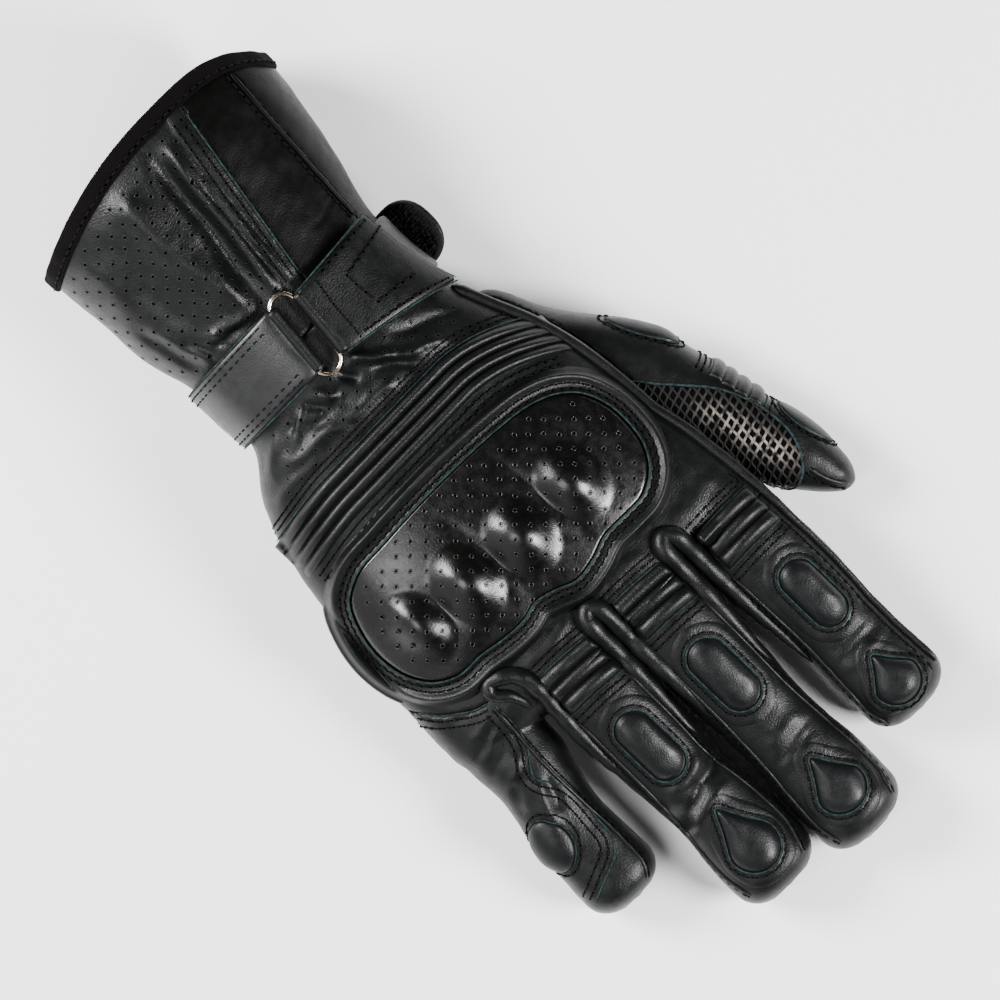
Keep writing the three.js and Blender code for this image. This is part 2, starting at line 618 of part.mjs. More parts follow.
// Ribs at the root of a finger
const FINGER_RIBS = 3;
const RIB_START = 0.02; // of the finger's length past its root
function fingerRibs(finger) {
  const tube = fingerTubes[finger.name];
  const start = HAND_LENGTH + RIB_START * finger.length;
  const point = (u, v, h) => {
    const y = start + v * FINGER_RIBS * FINGER_RIB_PITCH;
    return onTop(sectionAt(tube, y).x + (u - 0.5) * FINGER_RIB_WIDTH, y, h);
  };
  const lift = (u, v) => GAP + 0.4 + FINGER_RIB_HEIGHT * ridge(v, FINGER_RIBS);
  return trimmed(slab(point, lift, 4, FINGER_RIBS * RIB_STEPS), ...ROLLS.map((one) => roll(one, ROLL_RADIUS + GAP)));
}

// Padded shapes on the fingers: outlines round a middle point, as shares of a width and a length
const capsule = (a) => {
  const flat = 0.5 * (1 - PAD_WIDTH / PAD_LENGTH);
  const lift = (PAD_WIDTH / PAD_LENGTH) * 0.5 * Math.sin(a);
  return [0.5 * Math.cos(a), lift + Math.sign(Math.sin(a)) * flat * Math.min(1, Math.abs(6 * Math.sin(a)))];
};
const teardrop = (a) => {
  const point = Math.max(0, -Math.sin(a)) ** 3;
  return [0.5 * Math.cos(a) * (1 - 0.62 * point), Math.sin(a) > 0 ? 0.4 * Math.sin(a) : 0.6 * Math.sin(a)];
};
const circle = (a) => [0.5 * Math.cos(a), 0.5 * Math.sin(a)];
const PAD_SIDES = 14;

function padOnTop(middle, width, length, shape) {
  const point = (u, v, h) => {
    const [x, y] = shape(2 * Math.PI * u);
    return onTop(middle.x + v * x * width, middle.y + v * y * length, h);
  };
  const dome = (u, v) => GAP + 0.3 + PAD_HEIGHT * Math.sqrt(1 - 0.9 * v ** 3);
  return trimmed(slab(point, dome, PAD_SIDES, 2, true));
}
const fingerPlace = (finger, along) => {
  const y = HAND_LENGTH + along * finger.length;
  return new THREE.Vector2(sectionAt(fingerTubes[finger.name], y).x, y);
};
const PAD_PLACES = [
  { finger: INDEX, joint: 0.452, tip: 0.86 },
  { finger: MIDDLE, joint: 0.359, tip: 0.825 },
  { finger: RING, joint: 0.374, tip: 0.81 },
];

// A pad on the side of a tube, round an angle of its section
function padOnSide(tube, y, degrees, width, length) {
  const middle = sectionAt(tube, y);
  const turn = THREE.MathUtils.radToDeg(width / (middle.half + middle.up));
  const point = (u, v, h) => {
    const [across, along] = circle(2 * Math.PI * u);
    return skin(tube, y + v * along * length, degrees - v * across * 2 * turn, h);
  };
  const dome = (u, v) => GAP + 0.3 + 0.8 * PAD_HEIGHT * Math.sqrt(1 - 0.9 * v ** 3);
  return trimmed(slab(point, dome, PAD_SIDES, 2, true));
}

// Rolled welts between the fingers: along one finger's edge, round the crotch and up the next.
// Each row is a share of the way up the arms, and the angle round its finger's section.
const ROLL_ROWS = [
  { up: 1, finger: "left", angle: 31 },
  { up: 0.7, finger: "left", angle: 36 },
  { up: 0.4, finger: "left", angle: 39 },
  { up: 0.13, finger: "left", angle: 40 },
  { up: -0.02, finger: "left", angle: 36 },
  { up: -0.085, finger: "both", angle: 0 },
  { up: -0.02, finger: "right", angle: 144 },
  { up: 0.13, finger: "right", angle: 140 },
  { up: 0.4, finger: "right", angle: 141 },
  { up: 0.7, finger: "right", angle: 144 },
  { up: 1, finger: "right", angle: 149 },
];
const ROLL_LENGTH = 30;
const ROLL_SEAT = 0.35; // of the roll's radius, from the skin to its middle line
const ROLLS = [
  { left: INDEX, right: MIDDLE, start: -0.033 },
  { left: MIDDLE, right: RING, start: -0.033 },
  { left: RING, right: LITTLE, start: -0.07 },
]; // start is a share of the hand's length, from the finger roots
function roll({ left, right, start }, radius) {
  const tubes = { left: fingerTubes[left.name], right: fingerTubes[right.name] };
  const points = ROLL_ROWS.map((row) => {
    const y = handY(1 + start) + row.up * ROLL_LENGTH;
    const onLeft = skin(tubes.left, y, row.angle).x;
    const onRight = skin(tubes.right, y, 180 - row.angle).x;
    const x = row.finger === "both" ? (onLeft + onRight) / 2 : skin(tubes[row.finger], y, row.angle).x;
    return onTop(x, y, ROLL_SEAT * ROLL_RADIUS);
  });
  return cord(points, radius, 14);
}

// The rolled edge on the thumb's side, from the strap along the hand and up the index finger
const PIPING = { from: 0.185, to: 1.3, angle: 163, handAngle: 166 };
function piping(radius) {
  const steps = 12;
  const points = Array.from({ length: steps + 1 }, (_, i) => {
    const y = handY(mix(PIPING.from, PIPING.to, i / steps));
    const share = smooth(y, handY(0.86), handY(1.02));
    const onHand = skin(handTube, Math.min(y, handY(1.02)), PIPING.handAngle, 0.4);
    const onFinger = skin(fingerTubes.index, Math.max(y, handY(0.8)), PIPING.angle, 0.4);
    return onHand.lerp(onFinger, share).setY(y);
  });
  return cord(points, radius, 15);
}

// Mesh on the side of the thumb that faces the fingers, in plan as shares of the palm's width and the thumb's length
const THUMB_MESH = [
  [-0.466, 0.44], [-0.518, 0.52], [-0.585, 0.605], [-0.627, 0.7], [-0.635, 0.81],
  [-0.612, 0.87], [-0.552, 0.895], [-0.52, 0.86], [-0.495, 0.72], [-0.47, 0.56],
];
const thumbTop = (x, y) => topZ(x, y, [thumbTube]);
function thumbMesh() {
  const ground = new THREE.Vector2(0, handY(THUMB_ROOT));
  const curve = outlineCurve(THUMB_MESH, ground, new THREE.Vector2(PALM_WIDTH, THUMB_LENGTH));
  const middle = new THREE.Vector2(palmX(-0.553), ground.y + 0.7 * THUMB_LENGTH);
  const point = (u, v, h) => {
    const edge = curve.getPoint(u);
    const x = mix(middle.x, edge.x, v);
    const y = mix(middle.y, edge.y, v);
    return new THREE.Vector3(x, y, thumbTop(x, y) + h);
  };
  return trimmed(slab(point, (u, v) => GAP + MESH_THICKNESS + 0.8 * (1 - v * v), 18, 2, true));
}

// Stretch ribs over the thumb's knuckle
const THUMB_RIBS = { count: 4, from: 0.535, to: 0.69, low: 188, high: 130 };
function thumbRibs() {
  const point = (u, v, h) =>
    skin(
      thumbTube,
      handY(THUMB_ROOT) + THUMB_LENGTH * mix(THUMB_RIBS.from, THUMB_RIBS.to, v) + 6 * (0.5 - u),
      mix(THUMB_RIBS.low, THUMB_RIBS.high, u),
      h,
    );
  const lift = (u, v) => GAP + 0.4 + 0.7 * FINGER_RIB_HEIGHT * ridge(v, THUMB_RIBS.count);
  return slab(point, lift, 5, THUMB_RIBS.count * RIB_STEPS);
}

// The wire ring: a rounded loop lying over the wrist, between the two straps
const RING_X = 0.06; // of the wrist's width
const RING_TURN = THREE.MathUtils.degToRad(-3);
const ringMiddle = new THREE.Vector2(RING_X * WRIST_WIDTH, -0.2);
const STRAP_ROOM = STRAP_SEAT + STRAP_THICKNESS + GAP; // under the ring's wire, where a strap turns back
const ringEnds = [-0.5, 0.5].map((end) => topZ(ringMiddle.x, ringMiddle.y + end * RING_LENGTH));
const ringZ = Math.max(topZ(ringMiddle.x, 0) + STRAP_ROOM, ...ringEnds.map((z) => z + 2 * GAP)) + RING_WIRE / 2;
function ringPath() {
  const halfWidth = (RING_WIDTH - RING_WIRE) / 2;
  const straight = (RING_LENGTH - RING_WIRE) / 2 - halfWidth;
  const corners = 4;
  const arc = (start, centre) =>
    Array.from({ length: corners + 1 }, (_, i) => {
      const a = start + (Math.PI * i) / corners;
      return new THREE.Vector2(halfWidth * Math.cos(a), centre + halfWidth * Math.sin(a));
    });
  const flat = [...arc(0, straight), ...arc(Math.PI, -straight)];
  return flat.map((p) => {
    const turned = p.clone().rotateAround(new THREE.Vector2(), RING_TURN);
    return new THREE.Vector3(ringMiddle.x + turned.x, ringMiddle.y + turned.y, ringZ);
  });
}
function wireRing(radius) {
  const path = new THREE.CatmullRomCurve3(ringPath(), true, "centripetal");
  const wire = (u, v, target) => {
    const middle = path.getPoint(u % 1);
    const tangent = path.getTangent(u % 1);
    const a = 2 * Math.PI * (v % 1);
    const out = radius * Math.cos(a);
    target.set(middle.x + out * tangent.y, middle.y - out * tangent.x, middle.z + radius * Math.sin(a));
  };
  return solid(new ParametricGeometry(wire, RING_STEPS, WIRE_SIDES));
}

// A strap laid round the wrist between two angles. edge(u) gives its two edges along the glove,
// and top(u) how far its outer face stands off the skin.
function strapBand(fromAngle, toAngle, edge, top, columns) {
  const point = (u, v, h) => {
    const [lower, upper] = edge(u);
    return skin(handTube, mix(lower, upper, v), mix(fromAngle, toAngle, u), h);
  };
  return slab(point, top, columns, 2, false, () => STRAP_SEAT);
}
// A strap is doubled where it turns round the ring's wire
const doubled = (share) => {
  const single = STRAP_SEAT + STRAP_THICKNESS;
  const twice = ringZ - topZ(ringMiddle.x, 0) + RING_WIRE / 2 + GAP + STRAP_THICKNESS;
  return mix(twice, single, smooth(share, 0.02, 1));
};
const STRAP_GAP = 0.5 * (RING_WIDTH - RING_WIRE) - 1.2; // from the ring's middle to where a strap folds
const PULL = { end: 186, spreadUp: 8, spreadDown: 2.7 };
function pullStrap() {
  const start = angleOver(handTube, 0, ringMiddle.x - STRAP_GAP);
  const edge = (u) => {
    const widen = smooth(u, 0, 0.55);
    return [-0.45 * STRAP_WIDTH - PULL.spreadDown * widen, 0.545 * STRAP_WIDTH + PULL.spreadUp * widen];
  };
  return strapBand(start, PULL.end, edge, (u) => doubled(u / 0.22), 12);
}
const RING_STRAP = { end: -128, foldShare: 0.07 };
function ringStrap() {
  const start = angleOver(handTube, 0, ringMiddle.x + STRAP_GAP);
  const edge = (u) => {
    const shift = mix(0, -0.02, u) * STRAP_WIDTH;
    return [-0.53 * STRAP_WIDTH - shift, 0.47 * STRAP_WIDTH - shift];
  };
  const band = strapBand(start, RING_STRAP.end, edge, (u) => doubled(u / RING_STRAP.foldShare), 20);
  return band.add(tabPlate(0, STRAP_THICKNESS, -8, 1));
}

// The strap's loose end stands off the wrist on the thumb's side and is rounded off.
// Its plates lie on one slanted line in the section of the wrist, from a foot under the wrist.
const TAB = { foot: 232, slope: THREE.MathUtils.degToRad(37), y: 1 };
function tabPlate(low, high, from, roundness, reach = 1, width = STRAP_WIDTH) {
  const foot = skin(handTube, 0, TAB.foot, GAP + 0.1);
  const end = -0.5 * WRIST_WIDTH + RING_X * WRIST_WIDTH - reach * TAB_REACH + 4.8;
  const long = (foot.x - end) / Math.cos(TAB.slope);
  const radius = (width / 2) * roundness;
  const points = [new THREE.Vector2(from, -width / 2), new THREE.Vector2(long - radius, -width / 2)];
  for (let i = 1; i < 8; i += 1) {
    const a = -Math.PI / 2 + (Math.PI * i) / 8;
    points.push(new THREE.Vector2(long - radius + radius * Math.cos(a), (width / 2) * Math.sin(a)));
  }
  points.push(new THREE.Vector2(long - radius, width / 2), new THREE.Vector2(from, width / 2));
  const plate = new THREE.ExtrudeGeometry(new THREE.Shape(points), { depth: high - low, bevelEnabled: false });
  plate.translate(0, 0, low);
  const along = new THREE.Vector3(-Math.cos(TAB.slope), 0, Math.sin(TAB.slope));
  const across = new THREE.Vector3(0, 1, 0);
  const frame = new THREE.Matrix4().makeBasis(along, across, along.clone().cross(across));
  const lift = along.clone().cross(across).z;
  frame.setPosition(foot.x, TAB.y, foot.z - lift * STRAP_THICKNESS);
  return solid(plate.applyMatrix4(frame));
}

// Materials, as seen on the real glove
const finish = (colour, roughness, metalness = 0) =>
  new THREE.MeshStandardMaterial({ color: colour, roughness, metalness });
const LEATHER_FINISH = finish(0x1b1c1d, 0.45);
const PERFORATED_FINISH = finish(0x191a1b, 0.5);
const GUARD_FINISH = finish(0x141414, 0.28);
const PAD_FINISH = finish(0x202224, 0.4);
const BINDING_FINISH = finish(0x1c1819, 0.9);
const PILE_FINISH = finish(0x0a0a0a, 1);
const MESH_FINISH = finish(0x2a2623, 0.8);
const RING_FINISH = finish(0xb9a894, 0.25, 1);

const glove = new THREE.Group();
function add(name, body, material) {
  const mesh = body.getMesh();
  const points = new Float32Array(mesh.numVert * 3);
  for (let i = 0; i < mesh.numVert; i += 1) {
    points.set(mesh.vertProperties.subarray(i * mesh.numProp, i * mesh.numProp + 3), i * 3);
  }
  const geometry = new THREE.BufferGeometry();
  geometry.setAttribute("position", new THREE.BufferAttribute(points, 3));
  geometry.setIndex(new THREE.BufferAttribute(mesh.triVerts, 1));
  geometry.computeVertexNormals();
  const node = new THREE.Mesh(geometry, material);
  node.name = name;
  glove.add(node);
}

add("hand_back", handBack, LEATHER_FINISH);
add("hand_palm", handPalm, LEATHER_FINISH);
FINGERS.forEach((finger, i) => add(`${finger.name}_stall`, stall(i), LEATHER_FINISH));
add("thumb", thumbLeather, LEATHER_FINISH);
add("cuff_perforated_panel", cuffPerforated, PERFORATED_FINISH);
add("cuff_smooth_panel", cuffSmooth, LEATHER_FINISH);
add("cuff_under_panel", cuffUnder, LEATHER_FINISH);
add("cuff_binding", binding(), BINDING_FINISH);
add("knuckle_guard", guard, GUARD_FINISH);
add("guard_rim", rim, LEATHER_FINISH);
add("wrist_ribs", trimmed(wristRibs, piping(PIPING_RADIUS + GAP)), LEATHER_FINISH);
for (const finger of [INDEX, MIDDLE, RING]) add(`${finger.name}_ribs`, fingerRibs(finger), LEATHER_FINISH);
for (const { finger, joint, tip } of PAD_PLACES) {
  add(`${finger.name}_joint_pad`, padOnTop(fingerPlace(finger, joint), PAD_WIDTH, PAD_LENGTH, capsule), PAD_FINISH);
  add(`${finger.name}_tip_pad`, padOnTop(fingerPlace(finger, tip), DROP_WIDTH, DROP_LENGTH, teardrop), PAD_FINISH);
}
add("little_joint_pad", padOnSide(fingerTubes.little, HAND_LENGTH + 0.55 * LITTLE.length, 52, ROUND_PAD_WIDTH, ROUND_PAD_WIDTH), PAD_FINISH);
add("thumb_joint_pad", padOnSide(thumbTube, handY(THUMB_ROOT) + 0.8 * THUMB_LENGTH, 172, 12, 18), PAD_FINISH);
add("thumb_base_pad", padOnSide(thumbTube, handY(THUMB_ROOT) + 0.355 * THUMB_LENGTH, 165, 11, 20), PAD_FINISH);
for (const one of ROLLS) {
  add(`${one.left.name}_${one.right.name}_roll`, trimmed(roll(one, ROLL_RADIUS)), LEATHER_FINISH);
}
add("thumb_side_piping", trimmed(piping(PIPING_RADIUS)), LEATHER_FINISH);
add("thumb_mesh", thumbMesh(), MESH_FINISH);
add("thumb_ribs", trimmed(thumbRibs()), LEATHER_FINISH);
add("wrist_ring", wireRing(RING_WIRE / 2), RING_FINISH);
add("pull_strap", largest(pullStrap().subtract(wireRing(RING_WIRE / 2 + GAP))), LEATHER_FINISH);
add("ring_strap", trimmed(ringStrap(), wireRing(RING_WIRE / 2 + GAP)), LEATHER_FINISH);
add("strap_fuzzy_tab", tabPlate(STRAP_THICKNESS + GAP, STRAP_THICKNESS + GAP + TAB_PILE, 12, 1, 1, 0.93 * STRAP_WIDTH), PILE_FINISH);

// The origin is under the middle of the glove, on the surface that it lies on
const box = new THREE.Box3().setFromObject(glove);
const middle = box.getCenter(new THREE.Vector3());
glove.position.set(-middle.x, -middle.y, -box.min.z);

export default glove;
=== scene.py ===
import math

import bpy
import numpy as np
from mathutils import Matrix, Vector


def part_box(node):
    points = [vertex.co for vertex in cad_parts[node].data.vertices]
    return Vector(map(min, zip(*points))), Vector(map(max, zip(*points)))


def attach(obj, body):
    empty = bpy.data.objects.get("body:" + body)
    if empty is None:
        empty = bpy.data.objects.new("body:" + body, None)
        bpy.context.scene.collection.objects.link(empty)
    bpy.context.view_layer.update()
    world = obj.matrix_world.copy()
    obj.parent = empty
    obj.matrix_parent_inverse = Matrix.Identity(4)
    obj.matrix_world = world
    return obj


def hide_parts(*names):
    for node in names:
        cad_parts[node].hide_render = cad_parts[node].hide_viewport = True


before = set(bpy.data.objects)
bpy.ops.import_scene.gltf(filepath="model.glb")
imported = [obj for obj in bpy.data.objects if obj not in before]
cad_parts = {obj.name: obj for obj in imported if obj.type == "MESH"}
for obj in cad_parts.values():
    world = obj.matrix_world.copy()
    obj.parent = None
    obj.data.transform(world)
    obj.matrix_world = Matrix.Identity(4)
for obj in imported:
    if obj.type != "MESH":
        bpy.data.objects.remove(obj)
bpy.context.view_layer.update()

# A right-hand black leather motorcycle gauntlet, lying palm down.
#
# Lengths are millimetres. x runs across the hand, towards the little finger, y along it, towards
# the fingertips, and z up out of its back. x and y count from a point on the back of the hand,
# 72 mm past the middle of the wrist strap; to_row() moves a finished shape into the frame.

MM = 0.001

# Sizes
STRAP_Y = -72.0                 # the wrist strap's middle
RING_PLACE = (4.26, -72.2)      # the wire ring's middle
REST = 0.6                      # the leather is pressed flat up to this height
WALL = 1.8                      # leather and lining
FINGER_HEIGHT = 23.0
WEB = 4.0                       # how softly a finger runs into the hand
CELL = 0.8    # sampling of the leather's surface

# The hand and cuff: y, left, right, floor, top, squareness
HAND_ROWS = [
    (-162, -44.5, 44.0, 2.0, 62.0, 2.1),
    (-146, -44.2, 44.0, 1.6, 62.0, 2.1),
    (-131, -43.8, 43.8, 1.2, 62.5, 2.15),
    (-115, -41.2, 42.6, 1.2, 60.0, 2.15),
    (-100, -37.8, 41.8, 1.6, 57.0, 2.2),
    (-84, -33.6, 38.2, 3.4, 54.0, 2.25),
    (-72, -32.8, 37.8, 4.4, 52.0, 2.3),
    (-60, -34.0, 38.4, 3.8, 50.2, 2.35),
    (-50, -36.6, 45.8, 2.2, 48.8, 2.4),
    (-40, -40.4, 51.0, 1.0, 47.4, 2.45),
    (-30, -44.4, 54.0, 0.5, 46.0, 2.5),
    (-15, -48.4, 57.0, 0.2, 44.0, 2.55),
    (0, -50.2, 59.0, 0.1, 42.0, 2.6),
    (15, -51.0, 60.4, 0.4, 40.4, 2.6),
    (30, -52.0, 61.0, 1.0, 38.8, 2.6),
    (45, -53.4, 61.4, 1.8, 37.2, 2.6),
    (58, -54.0, 61.5, 2.6, 36.0, 2.6),
]
# The fingers' left and right edges: y, left, right
FINGER_EDGES = {
    "index": [(10, -53, -25), (30, -53.5, -25), (48, -54.8, -25), (60, -55.4, -25.2), (72, -55.6, -26),
              (84, -55, -27.8), (96, -54.2, -28.4), (108, -54.2, -27.8), (118, -54.6, -27.8),
              (130, -54.2, -28.6)],
    "middle": [(10, -24, 5), (30, -24, 5), (48, -24, 5), (60, -23.9, 5), (72, -23.2, 5), (84, -22.2, 4.8),
               (96, -21.2, 4.4), (108, -21.2, 4.8), (122, -22, 5.8), (134, -21.6, 6), (145, -21, 5.6)],
    "ring": [(10, 5.5, 34.2), (30, 5.6, 34.2), (48, 5.6, 34), (60, 5.7, 33.8), (72, 5.9, 33.4),
             (84, 6.8, 33), (96, 8, 32.4), (104, 7.4, 32.2), (114, 6.8, 33.6), (126, 7, 34.2),
             (138, 8, 33.6)],
    "little": [(4, 34, 60.5), (25, 34.6, 61), (40, 35.4, 61.6), (52, 35.9, 61.4), (60, 36.6, 61.2),
               (68, 38.8, 62.8), (76, 40.8, 64.8), (88, 41.5, 65.3), (98, 41.2, 66), (109, 41.6, 65)],
}
FINGER_TIPS = {"index": 127.6, "middle": 142.6, "ring": 136.0, "little": 107.0}
FINGER_ROOT_MIDDLE = {"index": 21.2, "middle": 24.8, "ring": 24.8, "little": 19.2}
# A finger's middle falls from its root to its tip: share of the way along, share of the fall
DROOP = [(-0.6, 0), (0, 0), (0.17, 0.1), (0.3, 0.28), (0.45, 0.5), (0.57, 0.68), (0.72, 0.86), (0.85, 0.97),
         (1.1, 1)]
ROOT_Y = 45.0                   # where the fingers leave the hand
# The thumb: y, left, right, floor, top, squareness
THUMB_ROWS = [
    (-50, -43, -28, 6, 20, 2.2), (-30, -48, -29, 3, 22.5, 2.2), (-15, -58.4, -31.5, 1, 25, 2.2),
    (-6, -64, -34, 0.5, 25.2, 2.2), (0, -67.2, -36, 0.5, 25.2, 2.2), (8, -68.9, -39, 0.5, 25, 2.2),
    (18, -71.2, -42.2, 0.5, 24.6, 2.2), (30, -73.4, -46.3, 0.5, 23.8, 2.2),
    (42, -76.2, -51.6, 0.6, 22.8, 2.2), (50, -77.4, -55.4, 0.8, 21.8, 2.2),
    (57, -78, -59.6, 1.4, 20.4, 2.2), (63, -77.6, -64.2, 2.6, 18.4, 2.2),
    (68, -76.4, -68.2, 4.2, 16.4, 2.2), (72, -75, -70.5, 6, 14, 2.2),
]

# Places of the trim
GUARD_MIDDLE = (7.5, 7.4)
GUARD_OUTLINE = [
    (56, 8), (54.2, 16.5), (50.5, 22.2), (44.5, 25.9), (35, 26.6), (28, 27.9), (20, 28.4), (13.5, 27.2),
    (8, 28.6), (1.2, 31.3), (-6, 30.6), (-13.5, 28.3), (-22, 28.3), (-29.5, 28), (-35.4, 24.6),
    (-39.4, 18.8), (-41, 11), (-40.4, 2), (-37.6, -4.6), (-32.5, -9.4), (-25, -12.6), (-14, -14.3),
    (0, -15.3), (16, -15.6), (32, -15.1), (44, -14.2), (50.5, -10.6), (54.4, -3),
]
# The guard's bumps: x, y, share of the height
KNUCKLES = [(-18.2, 11.0, 1.0), (3.0, 11.5, 1.05), (23.5, 10.0, 1.0), (43.0, 8.5, 0.95)]
KNUCKLE_HEIGHT = 4.2
CREASES = [(-9.0, 11.5), (13.4, 8.5), (33.5, 4)]
# Pads: x, y, half width and half length
JOINT_PADS = {"index": (-42.9, 82.3, 5.9, 11.9), "middle": (-8.6, 80.0, 6.3, 12.7),
              "ring": (20.6, 79.0, 6.0, 12.3)}
# Pads: x, y, half width, length past and before the middle
TIP_PADS = {"index": (-41.6, 116.6, 7.6, 7.4, 10.2), "middle": (-8.4, 126.6, 7.9, 7.4, 12.6),
            "ring": (20.6, 120.0, 7.9, 8.2, 15.2)}
# Ribs at the finger roots: left, right, first line, pitch, how much the right end lies lower
FINGER_RIBS = {"index": (-52.0, -30.6, 47.3, 4.55, 0.3), "middle": (-19.6, 0.2, 44.7, 4.75, 1.3),
               "ring": (10.0, 30.0, 44.3, 4.7, 1.3)}


def smooth(rows, at):
    """Columns of a table at places along it: cubic pieces with the slopes of the neighbouring chords."""
    rows = np.asarray(rows, float)
    key, values = rows[:, 0], rows[:, 1:]
    at = np.clip(np.asarray(at, float), key[0], key[-1])
    i = np.clip(np.searchsorted(key, at) - 1, 0, len(key) - 2)
    slopes = np.gradient(values, key, axis=0)
    span = (key[i + 1] - key[i])[..., None]
    t = (at - key[i])[..., None] / span
    out = ((2 * t**3 - 3 * t**2 + 1) * values[i] + (t**3 - 2 * t**2 + t) * span * slopes[i]
           + (3 * t**2 - 2 * t**3) * values[i + 1] + (t**3 - t**2) * span * slopes[i + 1])
    return np.moveaxis(out, -1, 0)


def step(value, low, high):
    """0 below low, 1 above high, smooth between."""
    t = np.clip((value - low) / (high - low), 0, 1)
    return t * t * (3 - 2 * t)


def unit(vectors):
    """Vectors made 1 long."""
    return vectors / np.maximum(np.linalg.norm(vectors, axis=-1, keepdims=True), 1e-9)


# The leather bag: tubes with rounded sections
def hand_tube():
    """The hand and the cuff, open at the cuff's mouth."""
    return {"rows": HAND_ROWS, "from": -162.0, "to": 53.0, "from_round": 0.0, "to_round": 12.0}


def finger_tube(name):
    """A finger: its edges from the table, its middle falling from the root's height to the tip's."""
    tip = FINGER_TIPS[name]
    y = np.array([row[0] for row in FINGER_EDGES[name]], float)
    left, right = smooth(FINGER_EDGES[name], y)
    fall = smooth(DROOP, (y - ROOT_Y) / (tip - ROOT_Y))[0]
    middle = FINGER_ROOT_MIDDLE[name] * (1 - fall) + 0.5 * FINGER_HEIGHT * fall
    half = FINGER_HEIGHT * (0.52 - 0.035 * fall)
    rows = np.stack([y, left, right, middle - half, middle + half, np.full_like(y, 2.35)], axis=1)
    return {"rows": rows, "from": y[0], "to": tip, "from_round": 22.0, "to_round": 9.5}


def thumb_tube():
    """The thumb, rounded at both ends."""
    return {"rows": THUMB_ROWS, "from": -46.0, "to": 69.6, "from_round": 16.0, "to_round": 6.5}


def section(tube, y):
    """Middle, half width, widest level, height above and below it, and squareness of a tube at y."""
    left, right, floor, top, power = smooth(tube["rows"], y)
    shrink = np.ones_like(left)
    if tube["to_round"]:
        t = np.clip((y - tube["to"] + tube["to_round"]) / tube["to_round"], 0, 1)
        shrink = shrink * (1 - t**2.5) ** (1 / 2.5)
    if tube["from_round"]:
        t = np.clip((tube["from"] + tube["from_round"] - y) / tube["from_round"], 0, 1)
        shrink = shrink * (1 - t**2.5) ** (1 / 2.5)
    shrink = np.maximum(shrink, 0.02)
    widest = floor + 0.485 * (top - floor)
    return ((left + right) / 2, (right - left) / 2 * shrink, widest, (top - widest) * shrink,
            (widest - floor) * shrink, power)


def tube_point(tube, y, degrees, lift=0.0):
    """Points on a tube, lift off its skin: half width and height times powers of cosine and sine."""
    y, a = np.broadcast_arrays(np.asarray(y, float), np.radians(degrees))
    x0, half, widest, up, down, power = section(tube, y)
    c = np.sign(np.cos(a)) * np.abs(np.cos(a)) ** (2 / power)
    s = np.sign(np.sin(a)) * np.abs(np.sin(a)) ** (2 / power)
    x = x0 + (half + lift) * c
    z = widest + (np.where(s > 0, up, down) + lift) * s
    return np.stack([x, y, z], axis=-1)


def tube_top(tube, x, y):
    """Height of a tube's upper skin over points in plan, held at its side beyond its width."""
    x0, half, widest, up, _, power = section(tube, np.asarray(y, float))
    reach = np.clip(np.abs(x - x0) / half, 0, 0.985)
    return widest + up * (1 - reach**power) ** (1 / power)


HAND = hand_tube()
THUMB = thumb_tube()
FINGERS = {name: finger_tube(name) for name in FINGER_EDGES}

# Samples of the space round the glove
LOW = np.array([-83.0, -152.0, -3.0])
HIGH = np.array([71.0, 147.0, 68.0])
AXES = [np.arange(LOW[i], HIGH[i] + CELL, CELL) for i in range(3)]
SHAPE = tuple(len(axis) for axis in AXES)
FAR = 30.0


def window(low_x, high_x, low_y, high_y):
    """Slices of the samples between two places across and along the glove."""
    ends = [np.searchsorted(AXES[0], (low_x, high_x)), np.searchsorted(AXES[1], (low_y, high_y))]
    return slice(*ends[0]), slice(*ends[1]), slice(None)


WRIST_TO_TIPS = window(-83, 71, STRAP_Y - 3, 147)
CUFF_PART = window(-52, 52, -152, STRAP_Y + 3)
THUMB_PART = window(-83, -20, -52, 76)


def tube_field(tube, part):
    """How far samples lie outside a tube, measured along lines from its middle: negative inside."""
    y = AXES[1][part[1]]
    x0, half, widest, up, down, power = (row[None, :, None].astype(np.float32) for row in section(tube, y))
    dx = AXES[0][part[0]].astype(np.float32)[:, None, None] - x0
    dz = AXES[2].astype(np.float32)[None, None, :] - widest
    reach = np.sqrt(dx * dx + dz * dz)
    ratio = (np.abs(dx / half) ** power + np.abs(dz / np.where(dz > 0, up, down)) ** power) ** (1 / power)
    field = reach * (1 - 1 / np.maximum(ratio, 1e-3))
    past = np.maximum(y - tube["to"], tube["from"] - y).astype(np.float32)[None, :, None]
    return np.maximum(field, past)


def blend(a, b, soft):
    """Smooth union: the smaller of two fields, eased where they are within soft of each other."""
    h = np.clip(0.5 + 0.5 * (b - a) / soft, 0, 1)
    return b + (a - b) * h - soft * h * (1 - h)


